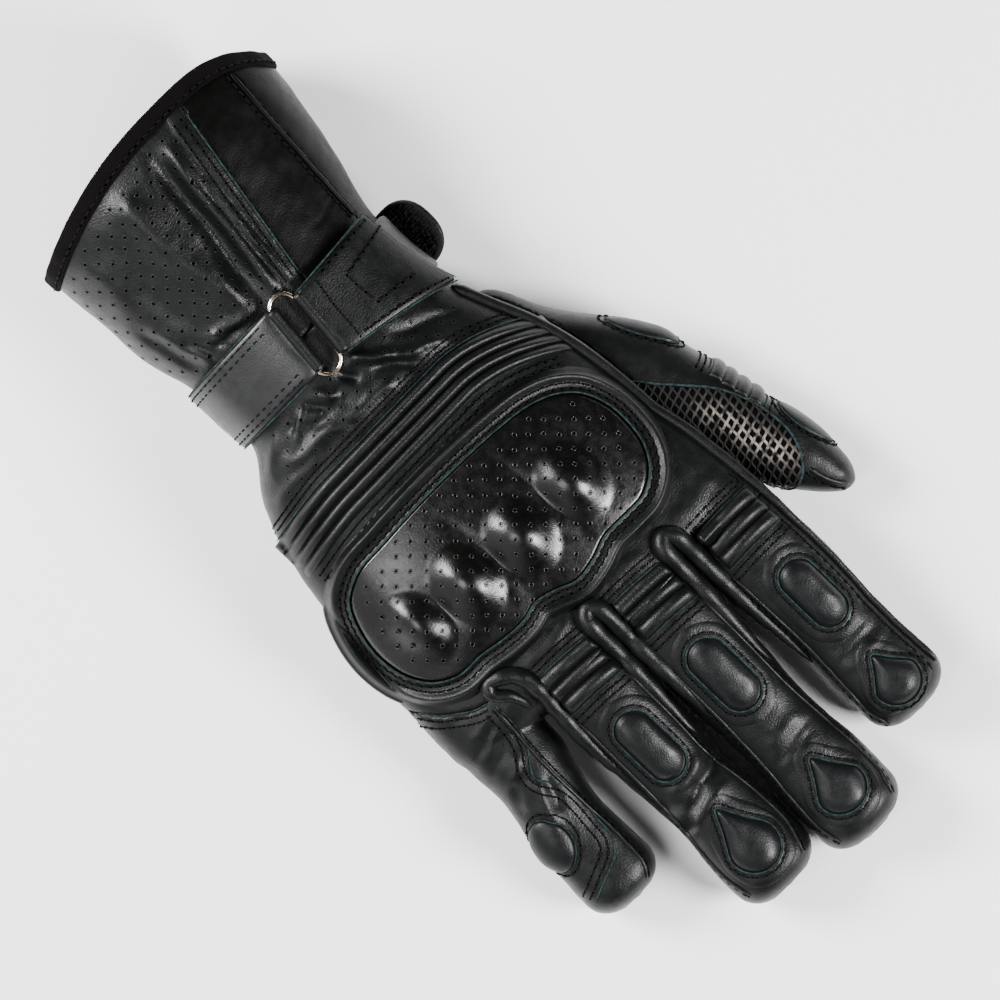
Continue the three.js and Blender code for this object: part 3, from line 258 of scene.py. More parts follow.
# Folds and drapes of the leather, in plan: x and y of both ends, half width, height (negative for a valley)
FOLDS = [
    # cuff
    (9.8, -85, 16.4, -143, 4.6, 2.6), (6.9, -86, -2.6, -140, 2.9, -3.2), (1.7, -84, -6.2, -138, 2.2, 2.1),
    (-1.4, -84, -5.4, -126, 0.9, -1.0), (-3.4, -84, -7.2, -124, 1.0, 0.9),
    (3.6, -86, -0.6, -116, 0.8, -0.5), (-6.2, -92, -9.0, -130, 1.4, -0.7),
    (23.5, -88, 27.0, -138, 3.6, -0.7), (28.2, -84, 34.6, -104, 1.7, 1.0),
    (31.2, -86, 37.2, -108, 1.9, -0.9), (25.4, -84, 30.6, -96, 1.5, -0.8),
    (36.0, -88, 40.6, -112, 2.0, 0.5), (14.4, -85.4, 25.4, -88.2, 1.2, -1.1),
    (12.0, -87.4, 26.0, -91.5, 1.3, 0.8), (20.0, -84, 23.0, -92, 0.9, 0.7),
    (-29.0, -93.2, -19.0, -90.6, 0.8, -0.4), (24.6, -98, 30.4, -118, 3.4, -0.6),
    (-26, -100, -27, -138, 5.0, -0.7), (32.0, -112, 36.0, -138, 3.0, 0.7),
    # wrist, between the strap and the stretch ribs
    (-23.0, -42.5, -7.0, -50.2, 1.8, 1.7), (-9.0, -49.4, 1.6, -59.2, 1.6, 2.2),
    (-12.5, -43.6, -2.0, -52.5, 1.5, -1.3), (-30.0, -45.5, -12.0, -55.0, 1.6, -1.0),
    (-5.0, -45.2, 16.0, -47.2, 1.8, 1.4), (14.0, -47.4, 36.0, -49.8, 2.0, 1.6),
    (3.4, -52.0, 6.4, -60.0, 1.5, -1.8), (10.5, -53.0, 16.0, -60.0, 1.5, 1.5),
    (15.4, -52.5, 19.6, -60.0, 1.1, -1.2), (18.0, -60.0, 31.0, -51.2, 1.2, 1.2),
    (22.6, -60.0, 27.4, -55.0, 0.9, -1.1), (30.0, -60.0, 42.0, -51.0, 1.9, 1.1),
    (34.0, -60.0, 44.0, -54.0, 1.4, -0.5), (25.0, -45.6, 47.0, -45.0, 1.6, 0.9),
    (8.0, -51.0, 24.0, -52.6, 1.3, -0.9),
    # ring finger's bend, and fainter creases on the others
    (9.5, 94.4, 17.5, 97.6, 1.9, -1.2), (16.0, 97.2, 31.2, 100.8, 2.2, -1.5),
    (13.0, 101.4, 30.5, 104.6, 1.5, 0.8), (11.0, 91.4, 31.0, 95.0, 2.2, 0.8),
    (22.0, 103.8, 31.0, 106.4, 0.8, -0.6), (-17.5, 106.2, -2.0, 108.2, 0.8, -0.45),
    (-15.0, 109.4, 0.0, 109.0, 0.7, -0.4), (-17.0, 103.0, -1.0, 103.6, 1.4, 0.35),
    (-50.0, 101.0, -33.0, 101.6, 1.0, -0.35), (-49.0, 98.2, -34.0, 98.4, 0.9, -0.3),
    (-50.0, 104.4, -33.0, 105.0, 1.1, 0.3),
    # little finger and the side below it
    (50.2, 62.0, 56.2, 76.5, 1.8, 1.3), (47.2, 64.0, 51.2, 74.0, 1.2, -0.8),
    (55.0, 58.0, 60.0, 68.0, 1.8, -0.8), (46.5, 43.2, 58.0, 46.0, 0.9, -0.6),
    (46.5, 45.4, 60.0, 49.0, 1.0, 0.5), (46.0, 40.6, 56.0, 41.6, 0.9, 0.5),
    (50.0, 50.5, 60.5, 54.0, 1.2, -0.5), (48.0, 54.0, 58.0, 59.5, 1.2, 0.6),
    (45.4, 37.6, 55.0, 34.0, 1.0, -0.6),
    # back of the hand beside the guard
    (-48.0, 38.5, -28.0, 40.2, 2.6, 0.7), (-46.0, 30.0, -40.0, 36.0, 2.4, 0.5),
    (-18.0, 38.8, -1.0, 39.0, 1.6, 0.6), (10.0, 38.0, 30.0, 38.4, 1.6, 0.6),
    # root of the thumb
    (-54.0, 5.6, -50.0, 7.0, 0.8, 0.4), (-55.5, 2.6, -49.8, 4.2, 0.8, -0.5),
    (-55.0, 0.0, -49.8, 1.4, 0.9, 0.45), (-62.0, -5.4, -49.2, -3.0, 2.4, -0.5),
    (-60.0, -12.4, -48.2, -8.4, 3.0, 0.4), (-57.0, -18.0, -47.0, -14.0, 2.8, -0.4),
]


def folds(x, y):
    """Sum of the folds: each a bell across its line, fading in and out along it."""
    total = np.zeros(np.broadcast(x, y).shape)
    for x0, y0, x1, y1, width, height in FOLDS:
        dx, dy = x1 - x0, y1 - y0
        long = math.hypot(dx, dy)
        along = ((x - x0) * dx + (y - y0) * dy) / long**2
        wander = 0.22 * width * np.sin(9 * along + x0)
        across = ((x - x0) * dy - (y - y0) * dx) / long + wander
        fade = step(along, -0.08, 0.22) * step(1 - along, -0.08, 0.22)
        total = total + height * fade * np.exp(-((across / width) ** 2))
    return total


def unevenness(x, y):
    """Slow swells that keep the leather from looking moulded: products of sines with mixed lengths."""
    return (0.16 * np.sin(x / 4.7 + 1.3 * np.sin(y / 9.1)) * np.sin(y / 6.3 + 0.8)
            + 0.09 * np.sin(x / 2.3 + y / 3.9) * np.sin(y / 2.9 - x / 5.7 + 1.1)
            + 0.05 * np.sin(x / 1.27 - y / 2.1 + 2.0 * np.sin(y / 11.0)) * np.sin(y / 1.43 + x / 3.3))


def cuff_edge(x):
    """The cuff's edge: level across the back, and climbing to both sides as a power of the distance."""
    t = np.asarray(x, float) / 88.0 + 0.09
    side = np.where(t > 0, 0.59, 0.41)
    power = np.where(t > 0, 2.1, 4.0)
    return -146.5 + 11.0 * np.minimum(np.abs(t) / side, 1.1) ** power


def side_level(y):
    """Level of the long seam between the back and the palm."""
    return np.interp(y, [-162, -72, -25, 45, 60, 100, 145], [30, 27, 20.5, 18.5, 15.5, 9.0, 6.5])


def seam_x(y, top, edge):
    """A long seam of the cuff, as x along its straight line from under the strap to the edge."""
    return top + (edge - top) * np.clip((-y - 72) / 74.5, 0, 1)


MIDDLE_SEAM = (-4.4, -18.0)
THUMB_SIDE_SEAM = (-28.2, -34.4)
OVERLAP = 6.2                   # the cuff's panels lie over each other beside the middle seam
OVERLAP_RISE = 0.55


def make_fields():
    """Fields of the outside of the glove's bag and of its thumb, negative inside."""
    x, y = np.meshgrid(AXES[0], AXES[1], indexing="ij")
    relief = folds(x, y) + unevenness(x, y)
    calm = step(np.abs(y - STRAP_Y), 11.5, 16)
    edge = step(y - cuff_edge(x), 4, 14)
    middle, half = section(HAND, AXES[1])[:2]
    turned_down = step(np.abs(x - middle) / half, 0.84, 0.97) * step(-y, -40, -25)
    relief = relief * calm * edge * (1 - turned_down)
    past_seam = x - seam_x(y, *MIDDLE_SEAM)
    relief += OVERLAP_RISE * step(past_seam, -0.5, 0.3) * (y < -80) * step(OVERLAP - past_seam, 0, 1.6)
    whole = (slice(None), slice(None), slice(None))
    hand = tube_field(HAND, whole)
    bag = hand.copy()
    for name, tube in FINGERS.items():
        edges = np.asarray(FINGER_EDGES[name])
        tip = window(edges[:, 1].min() - 1, edges[:, 2].max() + 1, tube["to"] - 11, tube["to"] + 6)[:2]
        relief[tip] *= step(tube["to"] - y[tip], 3.0, 10.0)
        part = window(edges[:, 1].min() - 8, edges[:, 2].max() + 8, tube["from"] - 2, tube["to"] + 6)
        bag[part] = np.minimum(bag[part], blend(hand[part], tube_field(tube, part), WEB))
    z = AXES[2][None, None, :]
    above = step(z - side_level(AXES[1])[None, :, None], -2.0, 9.0)
    bag -= (relief[:, :, None] * above).astype(np.float32)
    under = unevenness(x * 0.8 + 30, y * 0.7 - 12) * 1.6
    bag -= (under[:, :, None] * (1 - above)).astype(np.float32)
    bag = np.maximum(bag, REST - z).astype(np.float32)
    part = THUMB_PART
    thumb = np.full(SHAPE, FAR, np.float32)
    drape = relief[part[0], part[1], None] * step(z, 9.0, 18.0)
    thumb[part] = tube_field(THUMB, part) - drape.astype(np.float32)
    thumb = np.maximum(thumb, REST - z).astype(np.float32)
    return bag, thumb


def hollowed(field):
    """A wall of even thickness: the field, less where it lies deeper than the wall times its own slope."""
    steepness = np.sqrt(sum(part**2 for part in np.gradient(field, CELL)))
    return np.maximum(field, -(field + WALL * np.clip(steepness, 1, 5)))


BAG, THUMB_BAG = make_fields()
SKIN = np.minimum(BAG, THUMB_BAG)


def sample(field, points):
    """Values of a sampled field at points, mixed from the eight samples round each."""
    place = (np.asarray(points) - LOW) / CELL
    place = np.clip(place, 0, np.array(SHAPE) - 1.001)
    cell = place.astype(int)
    t = place - cell
    total = np.zeros(place.shape[:-1])
    for i in (0, 1):
        for j in (0, 1):
            for k in (0, 1):
                weight = np.abs(1 - i - t[..., 0]) * np.abs(1 - j - t[..., 1]) * np.abs(1 - k - t[..., 2])
                total += weight * field[cell[..., 0] + i, cell[..., 1] + j, cell[..., 2] + k]
    return total


def slope(field, points, reach=0.8):
    """Direction in which a field grows, from differences over reach."""
    parts = []
    for axis in range(3):
        offset = np.zeros(3)
        offset[axis] = reach
        parts.append((sample(field, points + offset) - sample(field, points - offset)) / (2 * reach))
    return np.stack(parts, axis=-1)


def settle(points, lift=0.0, field=SKIN, rounds=4):
    """Points moved to the skin along its slope, then lifted off it. Returns them with the skin's normals."""
    points = np.array(points, float)
    for _ in range(rounds):
        grow = slope(field, points)
        size = np.maximum((grow**2).sum(-1, keepdims=True), 0.05)
        points = points - np.clip(sample(field, points)[..., None], -3, 3) * grow / size
    normal = unit(slope(field, points, 1.1))
    return points + normal * np.asarray(lift)[..., None], normal


def heights(field):
    """Height of a field's upper skin in every column of samples, or 0 where it has none."""
    inside = field < 0
    top = field.shape[2] - 1 - np.argmax(inside[:, :, ::-1], axis=2)
    top = np.minimum(top, field.shape[2] - 2)
    i, j = np.indices(top.shape)
    a, b = field[i, j, top], field[i, j, top + 1]
    z = AXES[2][top] + CELL * a / (a - b)
    return np.where(inside.any(axis=2), z, 0.0)


TOPS = heights(SKIN)
THUMB_TOPS = heights(THUMB_BAG)


def height(x, y, tops=TOPS):
    """Height of the skin over points in plan, mixed from the four columns round each."""
    px = np.clip((np.asarray(x) - LOW[0]) / CELL, 0, SHAPE[0] - 1.001)
    py = np.clip((np.asarray(y) - LOW[1]) / CELL, 0, SHAPE[1] - 1.001)
    i, j = px.astype(int), py.astype(int)
    s, t = px - i, py - j
    return ((1 - s) * (1 - t) * tops[i, j] + s * (1 - t) * tops[i + 1, j]
            + (1 - s) * t * tops[i, j + 1] + s * t * tops[i + 1, j + 1])


def on_top(x, y, lift=0.0, tops=TOPS):
    """Points over places in plan, lifted straight up off the skin."""
    x, y = np.broadcast_arrays(np.asarray(x, float), np.asarray(y, float))
    return np.stack([x, y, height(x, y, tops) + lift], axis=-1)


# Meshes
RING_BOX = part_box("wrist_ring")
SHIFT = np.array([(RING_BOX[0][0] + RING_BOX[1][0]) / 2 - RING_PLACE[0] * MM,
                  (RING_BOX[0][1] + RING_BOX[1][1]) / 2 - RING_PLACE[1] * MM, -REST * MM])


def to_row(points):
    """Millimetres on the glove as metres in the row's frame."""
    return np.asarray(points, float) * MM + SHIFT


def build(name, points, faces, finishes, replaced=(), face_finish=None):
    """A smooth mesh piece that rides on the glove. faces is a list of arrays with 3 or 4 corners a row."""
    faces = [np.asarray(rows, np.int32) for rows in faces if len(rows)]
    mesh = bpy.data.meshes.new(name)
    corners = np.concatenate([rows.ravel() for rows in faces])
    sizes = np.concatenate([np.full(len(rows), rows.shape[1], np.int32) for rows in faces])
    mesh.vertices.add(len(points))
    mesh.vertices.foreach_set("co", to_row(points).astype(np.float32).ravel())
    mesh.loops.add(len(corners))
    mesh.loops.foreach_set("vertex_index", corners)
    mesh.polygons.add(len(sizes))
    mesh.polygons.foreach_set("loop_start", np.concatenate([[0], np.cumsum(sizes)[:-1]]).astype(np.int32))
    mesh.polygons.foreach_set("use_smooth", np.ones(len(sizes), bool))
    finishes = finishes if isinstance(finishes, (list, tuple)) else [finishes]
    for finish in finishes:
        mesh.materials.append(finish)
    if face_finish is not None:
        mesh.polygons.foreach_set("material_index", np.asarray(face_finish, np.int32))
    mesh.update(calc_edges=True)
    mesh.validate()
    piece = bpy.data.objects.new(name, mesh)
    bpy.context.scene.collection.objects.link(piece)
    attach(piece, "root")
    if replaced:
        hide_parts(*replaced)
    return piece


CORNERS = np.array([(i, j, k) for i in (0, 1) for j in (0, 1) for k in (0, 1)])
CELL_EDGES = [(a, b) for a in range(8) for b in range(a + 1, 8) if np.abs(CORNERS[a] - CORNERS[b]).sum() == 1]


def surface_net(field, low):
    """Closed surface where a sampled field is zero. A cell of eight samples that it passes gets one
    vertex, at the mean of the crossings on its edges, and a crossed edge one face of its four cells."""
    field = np.pad(field, 1, constant_values=FAR)
    low = low - CELL
    inside = field < 0
    wide, long, tall = np.array(inside.shape) - 1
    count = sum(inside[i:i + wide, j:j + long, k:k + tall].astype(np.int8) for i, j, k in CORNERS)
    active = (count > 0) & (count < 8)
    cells = np.argwhere(active)
    number = np.full(active.shape, -1, np.int32)
    number[active] = np.arange(len(cells), dtype=np.int32)
    values = np.stack([field[tuple((cells + corner).T)] for corner in CORNERS], axis=1)
    total = np.zeros((len(cells), 3))
    hits = np.zeros(len(cells))
    for a, b in CELL_EDGES:
        va, vb = values[:, a], values[:, b]
        crossed = (va < 0) != (vb < 0)
        t = np.where(crossed, va / np.where(crossed, va - vb, 1), 0)[:, None]
        total += crossed[:, None] * (CORNERS[a] + t * (CORNERS[b] - CORNERS[a]))
        hits += crossed
    points = low + CELL * (cells + total / hits[:, None])
    quads = []
    for axis in range(3):
        u, v = (axis + 1) % 3, (axis + 2) % 3
        here = [slice(1, -1)] * 3
        here[axis] = slice(0, -1)
        there = list(here)
        there[axis] = slice(1, None)
        first, second = inside[tuple(here)], inside[tuple(there)]
        spots = np.argwhere(first != second)
        offset = np.ones(3, int)
        offset[axis] = 0
        spots = spots + offset
        leaving = inside[tuple(spots.T)]
        back_u, back_v = np.zeros(3, int), np.zeros(3, int)
        back_u[u], back_v[v] = 1, 1
        ring = np.stack([number[tuple((spots - back_u - back_v).T)], number[tuple((spots - back_v).T)],
                         number[tuple(spots.T)], number[tuple((spots - back_u).T)]], axis=1)
        quads.append(np.where(leaving[:, None], ring, ring[:, ::-1]))
    return points, np.concatenate(quads)


def leather_piece(name, wall, region, finish, replaced, part):
    """A closed piece of leather: a wall, inside a region given as a field, both negative inside."""
    field = np.maximum(wall[part], np.broadcast_to(region, SHAPE)[part])
    low = np.array([AXES[i][part[i]][0] for i in range(3)])
    points, quads = surface_net(field, low)
    middle = points[quads].mean(axis=1)
    inner = sample(SKIN, middle) < -0.55 * WALL
    return build(name, points, [quads], [finish, LINING], replaced, inner)


def weld(top, bottom, rim):
    """Index of the lower grid: its own points, apart from those on the rim, which are the upper grid's."""
    number = np.where(rim, top, 0)
    number[~rim] = top.size + np.arange((~rim).sum())
    return number, bottom[~rim]


def pillow(name, place, top, base, columns, rows, finish, slot_name, replaced, wrap=False, pole=False,
           crowd=0.0):
    """A raised piece, as pillow_mesh() gives it."""
    points, faces = pillow_mesh(place, top, base, columns, rows, wrap, pole, crowd)
    return build(name, points, faces, finish, replaced)


def pillow_mesh(place, top, base, columns, rows, wrap=False, pole=False, crowd=0.0):
    """A grid over (u, v) on the skin, lifted by top(u, v), with a second sheet base(u, v) under it that
    shares its rim. wrap joins the last column to the first, pole gathers the first row in one point, and
    crowd moves the grid's lines towards its edges."""
    u = np.linspace(0, 1, columns + 1)[:columns if wrap else None]
    v = np.linspace(0, 1, rows + 1)
    v = (1 - crowd) * v + crowd * (np.sin(0.5 * np.pi * v) if pole else 0.5 - 0.5 * np.cos(np.pi * v))
    if not wrap:
        u = (1 - crowd) * u + crowd * (0.5 - 0.5 * np.cos(np.pi * u))
    u, v = np.meshgrid(u, v, indexing="ij")
    spots, normals = place(u, v)
    high = spots + normals * top(u, v)[..., None]
    low = spots + normals * base(u, v)[..., None]
    rim = np.zeros(u.shape, bool)
    rim[:, -1] = True
    if not pole:
        rim[:, 0] = True
    if not wrap:
        rim[0, :] = rim[-1, :] = True
    upper = np.arange(u.size).reshape(u.shape)
    lower, extra = weld(upper, low, rim)
    high[rim] = low[rim]
    points = np.concatenate([high.reshape(-1, 3), extra])
    faces = []
    for number, turn in ((upper, 1), (lower, -1)):
        grid = np.concatenate([number, number[:1]], axis=0) if wrap else number
        quads = np.stack([grid[:-1, :-1], grid[1:, :-1], grid[1:, 1:], grid[:-1, 1:]], axis=-1).reshape(-1, 4)
        faces.append(quads[:, ::turn])
    if pole:
        for number in (upper, lower):
            ring = number[:, 0]
            faces = [np.where(np.isin(rows_, ring), ring[0], rows_) for rows_ in faces]
        quads = np.concatenate(faces)
        doubled = (quads == np.roll(quads, -1, axis=1))
        plain = quads[~doubled.any(axis=1)]
        pinched = quads[doubled.any(axis=1)]
        keep = ~doubled[doubled.any(axis=1)]
        triangles = pinched[keep].reshape(-1, 3)
        faces = [plain, triangles]
        used = np.unique(np.concatenate([plain.ravel(), triangles.ravel()]))
        renumber = np.zeros(len(points), int)
        renumber[used] = np.arange(len(used))
        points = points[used]
        faces = [renumber[rows_] for rows_ in faces]
    return points, faces


UP = np.array([0.0, 0.0, 1.0])


def upright(points):
    """Points, with normals that point straight up."""
    return points, np.broadcast_to(UP, points.shape)


def hand_top(x, y):
    """Points on the hand's upper skin over places in plan, with normals that point straight up."""
    return upright(np.stack([x, y, tube_top(HAND, x, y)], axis=-1))


def sunk(depth):
    """A flat underside, this deep below the skin."""
    return lambda u, _: np.full_like(u, -depth)


def raised(depth, swell, rim):
    """An upper face: swell over the skin, drawn down to the underside where rim falls to 0."""
    return -depth + (depth + swell) * rim


def brink(t, share):
    """1 between two edges, falling to 0 at each over a share of the way."""
    return np.minimum(np.clip(t / share, 0, 1), np.clip((1 - t) / share, 0, 1))


def tube_quads(rings, sides, closed=False):
    """Faces between rings of points that follow one another, each with the same number of sides."""
    i, j = np.arange(rings if closed else rings - 1)[:, None], np.arange(sides)[None, :]
    here, after, beside_it = i * sides, (i + 1) % rings * sides, (j + 1) % sides
    return np.stack([here + j, here + beside_it, after + beside_it, after + j], axis=-1).reshape(-1, 4)


def frames_along(path, up, closed):
    """Side and upright unit vectors along a path, upright as near to up as may be."""
    if closed:
        tangent = np.roll(path, -1, axis=0) - np.roll(path, 1, axis=0)
    else:
        tangent = np.gradient(path, axis=0)
    tangent = unit(tangent)
    side = unit(np.cross(tangent, up))
    return side, np.cross(side, tangent)


def sweep_mesh(path, up, radius, sides, flat=1.0, closed=False):
    """A rounded section carried along a path: side times cosine plus upright times flat times sine.
    Open ends are drawn in to a point over the last few rings."""
    path = np.asarray(path, float)
    up = np.broadcast_to(up, path.shape)
    side, rise = frames_along(path, up, closed)
    radius = np.broadcast_to(np.asarray(radius, float), (len(path),)).copy()
    a = 2 * np.pi * np.arange(sides) / sides
    ring = (side[:, None] * np.cos(a)[None, :, None] + rise[:, None] * (flat * np.sin(a))[None, :, None])
    points = (path[:, None] + radius[:, None, None] * ring).reshape(-1, 3)
    n = len(path)
    quads = tube_quads(n, sides, closed)
    if closed:
        return points, [quads]
    points = np.concatenate([points, path[:1], path[-1:]])
    j = np.arange(sides)
    start = np.stack([np.full(sides, n * sides), (j + 1) % sides, j], axis=1)
    last = (n - 1) * sides
    end = np.stack([np.full(sides, n * sides + 1), last + j, last + (j + 1) % sides], axis=1)
    return points, [quads, np.concatenate([start, end])]


def join(meshes):
    """Several meshes as one: points in a row, and faces with 4 and with 3 corners apart."""
    points, quads, triangles, start = [], [], [], 0
    for spots, faces in meshes:
        points.append(spots)
        for rows in faces:
            (quads if rows.shape[1] == 4 else triangles).append(rows + start)
        start += len(spots)
    return np.concatenate(points), [np.concatenate(group) for group in (quads, triangles) if group]


def curve(points, count, closed=False):
    """Evenly spaced points on a smooth line through a few: cubic pieces along their running length."""
    points = np.asarray(points, float)
    if closed:
        points = np.concatenate([points[-3:], points, points[:4]])
    run = running_length(points)
    rows = np.column_stack([run, points])
    start, end = (run[3], run[-4]) if closed else (run[0], run[-1])
    fine = smooth(rows, np.linspace(start, end, 12 * count)).T
    length = running_length(fine)
    wanted = np.linspace(0, length[-1], count + 1 if closed else count)
    even = np.stack([np.interp(wanted, length, fine[:, k]) for k in range(points.shape[1])], axis=1)
    return even[:-1] if closed else even


def running_length(points):
    """Length of a line up to each of its points."""
    return np.concatenate([[0], np.cumsum(np.linalg.norm(np.diff(points, axis=0), axis=1))])


def tapered(count, radius, ends):
    """A radius that is drawn in at both ends."""
    t = np.linspace(0, 1, count)
    return radius * np.sqrt(np.clip(np.minimum(t, 1 - t) / ends, 0.02, 1))


# Stitching
STITCH_LENGTH = 2.0
STITCH_PITCH = 2.75
THREAD = 0.3
HOLE = 0.42
ASLANT = np.array([0.31, 0.95, 0.05])    # a direction that no normal of the leather has


def stitch_mesh(path, normal):
    """Stitches along a line on the leather: short threads that rise from a needle hole, and arch down
    into the next. Returns the threads, and the needle holes as dark discs of painted shade."""
    run = running_length(path)
    count = max(int(run[-1] / STITCH_PITCH), 1)
    middle = (np.arange(count) + 0.5) * run[-1] / count

    def at(place, rows):
        return np.stack([np.interp(place, run, rows[:, k]) for k in range(3)], axis=1)

    spot, up = at(middle, path), at(middle, normal)
    ahead = unit(at(middle + 0.5, path) - at(middle - 0.5, path))
    side = unit(np.cross(ahead, up))
    t = np.array([-1, -0.6, 0, 0.6, 1])
    a = 2 * np.pi * np.arange(5) / 5
    long = np.repeat(t * STITCH_LENGTH / 2, 5)
    thick = np.repeat(THREAD * np.array([0.55, 1, 1, 1, 0.55]), 5)
    rise = np.repeat(0.34 * (1 - t**2) - 0.14, 5)
    across = thick * np.tile(np.cos(a), 5)
    tall = thick * np.tile(np.sin(a), 5) + rise
    points = (spot[:, None] + ahead[:, None] * long[None, :, None] + side[:, None] * across[None, :, None]
              + up[:, None] * tall[None, :, None])
    quads = tube_quads(5, 5)[:, ::-1]
    ends = np.array([(0, 1, 2), (0, 2, 3), (0, 3, 4), (20, 22, 21), (20, 23, 22), (20, 24, 23)])
    start = (np.arange(count) * 25)[:, None, None]
    threads = (points.reshape(-1, 3),
               [(quads[None] + start).reshape(-1, 4), (ends[None] + start).reshape(-1, 3)])
    between = np.clip(middle + run[-1] / count / 2, 0, run[-1])
    return threads, dimples(at(between, path), at(between, normal), HOLE, 0.05)


def dimples(spots, up, radius, lift):
    """Small dark domes that lie in the leather, one at each place, where a hole's shade is painted: rings of
    eight round a point.
    """
    side = unit(np.cross(up, ASLANT))
    ahead = np.cross(up, side)
    a = 2 * np.pi * np.arange(8) / 8
    radii = np.repeat([1.0, 0.65], 8) * radius
    rise = np.repeat([-0.25, lift], 8)
    across = np.concatenate([radii * np.tile(np.cos(a), 2), [0]])
    along = np.concatenate([radii * np.tile(np.sin(a), 2), [0]])
    rise = np.concatenate([rise, [lift + 0.04]])
    points = (spots[:, None] + side[:, None] * across[None, :, None] + ahead[:, None] * along[None, :, None]
              + up[:, None] * rise[None, :, None])
    quads = tube_quads(2, 8)
    j = np.arange(8)
    caps = np.stack([8 + j, 8 + (j + 1) % 8, np.full(8, 16)], axis=1)
    foot = np.array([(0, 7, 6, 1), (1, 6, 5, 2), (2, 5, 4, 3)])
    start = (np.arange(len(spots)) * 17)[:, None, None]
    return points.reshape(-1, 3), [(np.concatenate([quads, foot])[None] + start).reshape(-1, 4),
                                   (caps[None] + start).reshape(-1, 3)]


SEWING = {"threads": [], "holes": []}


def sew(path, normal):
    """Adds a row of stitches on a line that already lies on the leather."""
    threads, holes = stitch_mesh(path, normal)
    SEWING["threads"].append(threads)
    SEWING["holes"].append(holes)


def laid_on_skin(plan, lift):
    """A line in plan, put on the skin. Where it runs past the glove's outline it goes on down the side."""
    spots = on_top(plan[:, 0], plan[:, 1])
    spots[:, 2] = np.maximum(spots[:, 2], side_level(plan[:, 1]) + 2.0)
    return settle(spots, lift, rounds=8)


def sew_on_skin(plan):
    """A row of stitches through places in plan."""
    sew(*laid_on_skin(curve(plan, max(int(running_length(plan)[-1] / 1.2), 6)), 0.1))


RAW_EDGES = []


def raw_edge(path, normal, radius=0.24, closed=False):
    """Adds a cut edge of the leather: a thin greenish line."""
    radius = radius if closed else tapered(len(path), radius, 0.03)
    RAW_EDGES.append(sweep_mesh(path, normal, radius, 6, 0.8, closed))


def raw_edge_on_skin(plan, lift, radius=0.24):
    """A cut edge through places in plan."""
    path, normal = laid_on_skin(curve(plan, max(int(running_length(plan)[-1] / 1.1), 8)), lift)
    raw_edge(path, normal, radius)


# Finishes
def new_finish(name):
    """A material, its nodes, its links and its shader."""
    finish = bpy.data.materials.new(name)
    finish.use_nodes = True
    nodes = finish.node_tree.nodes
    return finish, nodes, finish.node_tree.links, nodes["Principled BSDF"]


def add_node(nodes, kind, **values):
    """A node with its settings and its sockets' values, by name."""
    node = nodes.new(kind)
    for key, value in values.items():
        if hasattr(node, key):
            setattr(node, key, value)
        else:
            node.inputs[key.replace("_", " ")].default_value = value
    return node


def pattern(nodes, links, kind, **values):
    """A texture that lies still on the piece, laid out in its object coordinates."""
    node = add_node(nodes, kind, **values)
    links.new(nodes.new("ShaderNodeTexCoord").outputs["Object"], node.inputs["Vector"])
    return node


def ranged(nodes, links, source, low, high, to_low=0.0, to_high=1.0):
    """A socket's value, with low to high stretched to to_low to to_high."""
    node = nodes.new("ShaderNodeMapRange")
    for socket, value in (("From Min", low), ("From Max", high), ("To Min", to_low), ("To Max", to_high)):
        node.inputs[socket].default_value = value
    links.new(source, node.inputs["Value"])
    return node.outputs["Result"]


def tinted(nodes, links, share, colour, other, shader):
    """Gives the shader a colour between two, by a socket's value."""
    mix = add_node(nodes, "ShaderNodeMix", data_type="RGBA")
    mix.inputs["A"].default_value = (*colour, 1)
    mix.inputs["B"].default_value = (*other, 1)
    links.new(share, mix.inputs["Factor"])
    links.new(mix.outputs["Result"], shader.inputs["Base Color"])


def relief_of(nodes, links, shader, layers):
    """Small relief in layers: for each its height's socket, its strength and its depth in metres."""
    below = None
    for height_socket, strength, depth in layers:
        bump = add_node(nodes, "ShaderNodeBump", Strength=strength, Distance=depth)
        links.new(height_socket, bump.inputs["Height"])
        if below is not None:
            links.new(below, bump.inputs["Normal"])
        below = bump.outputs["Normal"]
    links.new(below, shader.inputs["Normal"])


def leather(name, colour, roughness, grain, gloss, worn=0.25):
    """Black grain leather: pebbles from cell edges, finer noise between them, and slow changes of
    sheen and of colour where it has been handled."""
    finish, nodes, links, shader = new_finish(name)
    swell = pattern(nodes, links, "ShaderNodeTexNoise", Scale=70.0, Detail=3.0)
    pebbles = pattern(nodes, links, "ShaderNodeTexVoronoi", feature="DISTANCE_TO_EDGE", Scale=1150.0)
    fine = pattern(nodes, links, "ShaderNodeTexNoise", Scale=2300.0, Detail=2.0)
    creases = pattern(nodes, links, "ShaderNodeTexNoise", Scale=330.0, Detail=4.0, Roughness=0.62)
    handled = [min(1.0, 1.5 * c + 0.0006) for c in colour]
    share = ranged(nodes, links, swell.outputs["Fac"], 0.35, 0.8, 0.0, worn)
    tinted(nodes, links, share, colour, handled, shader)
    sheen = ranged(nodes, links, creases.outputs["Fac"], 0.3, 0.75, roughness - 0.06, roughness + 0.1)
    links.new(sheen, shader.inputs["Roughness"])
    shader.inputs["Specular IOR Level"].default_value = gloss
    relief_of(nodes, links, shader, [
        (creases.outputs["Fac"], 0.24 * grain, 0.0006),
        (ranged(nodes, links, pebbles.outputs["Distance"], 0.0, 0.22), 0.42 * grain, 0.00016),
        (fine.outputs["Fac"], 0.2 * grain, 0.0001)])
    return finish


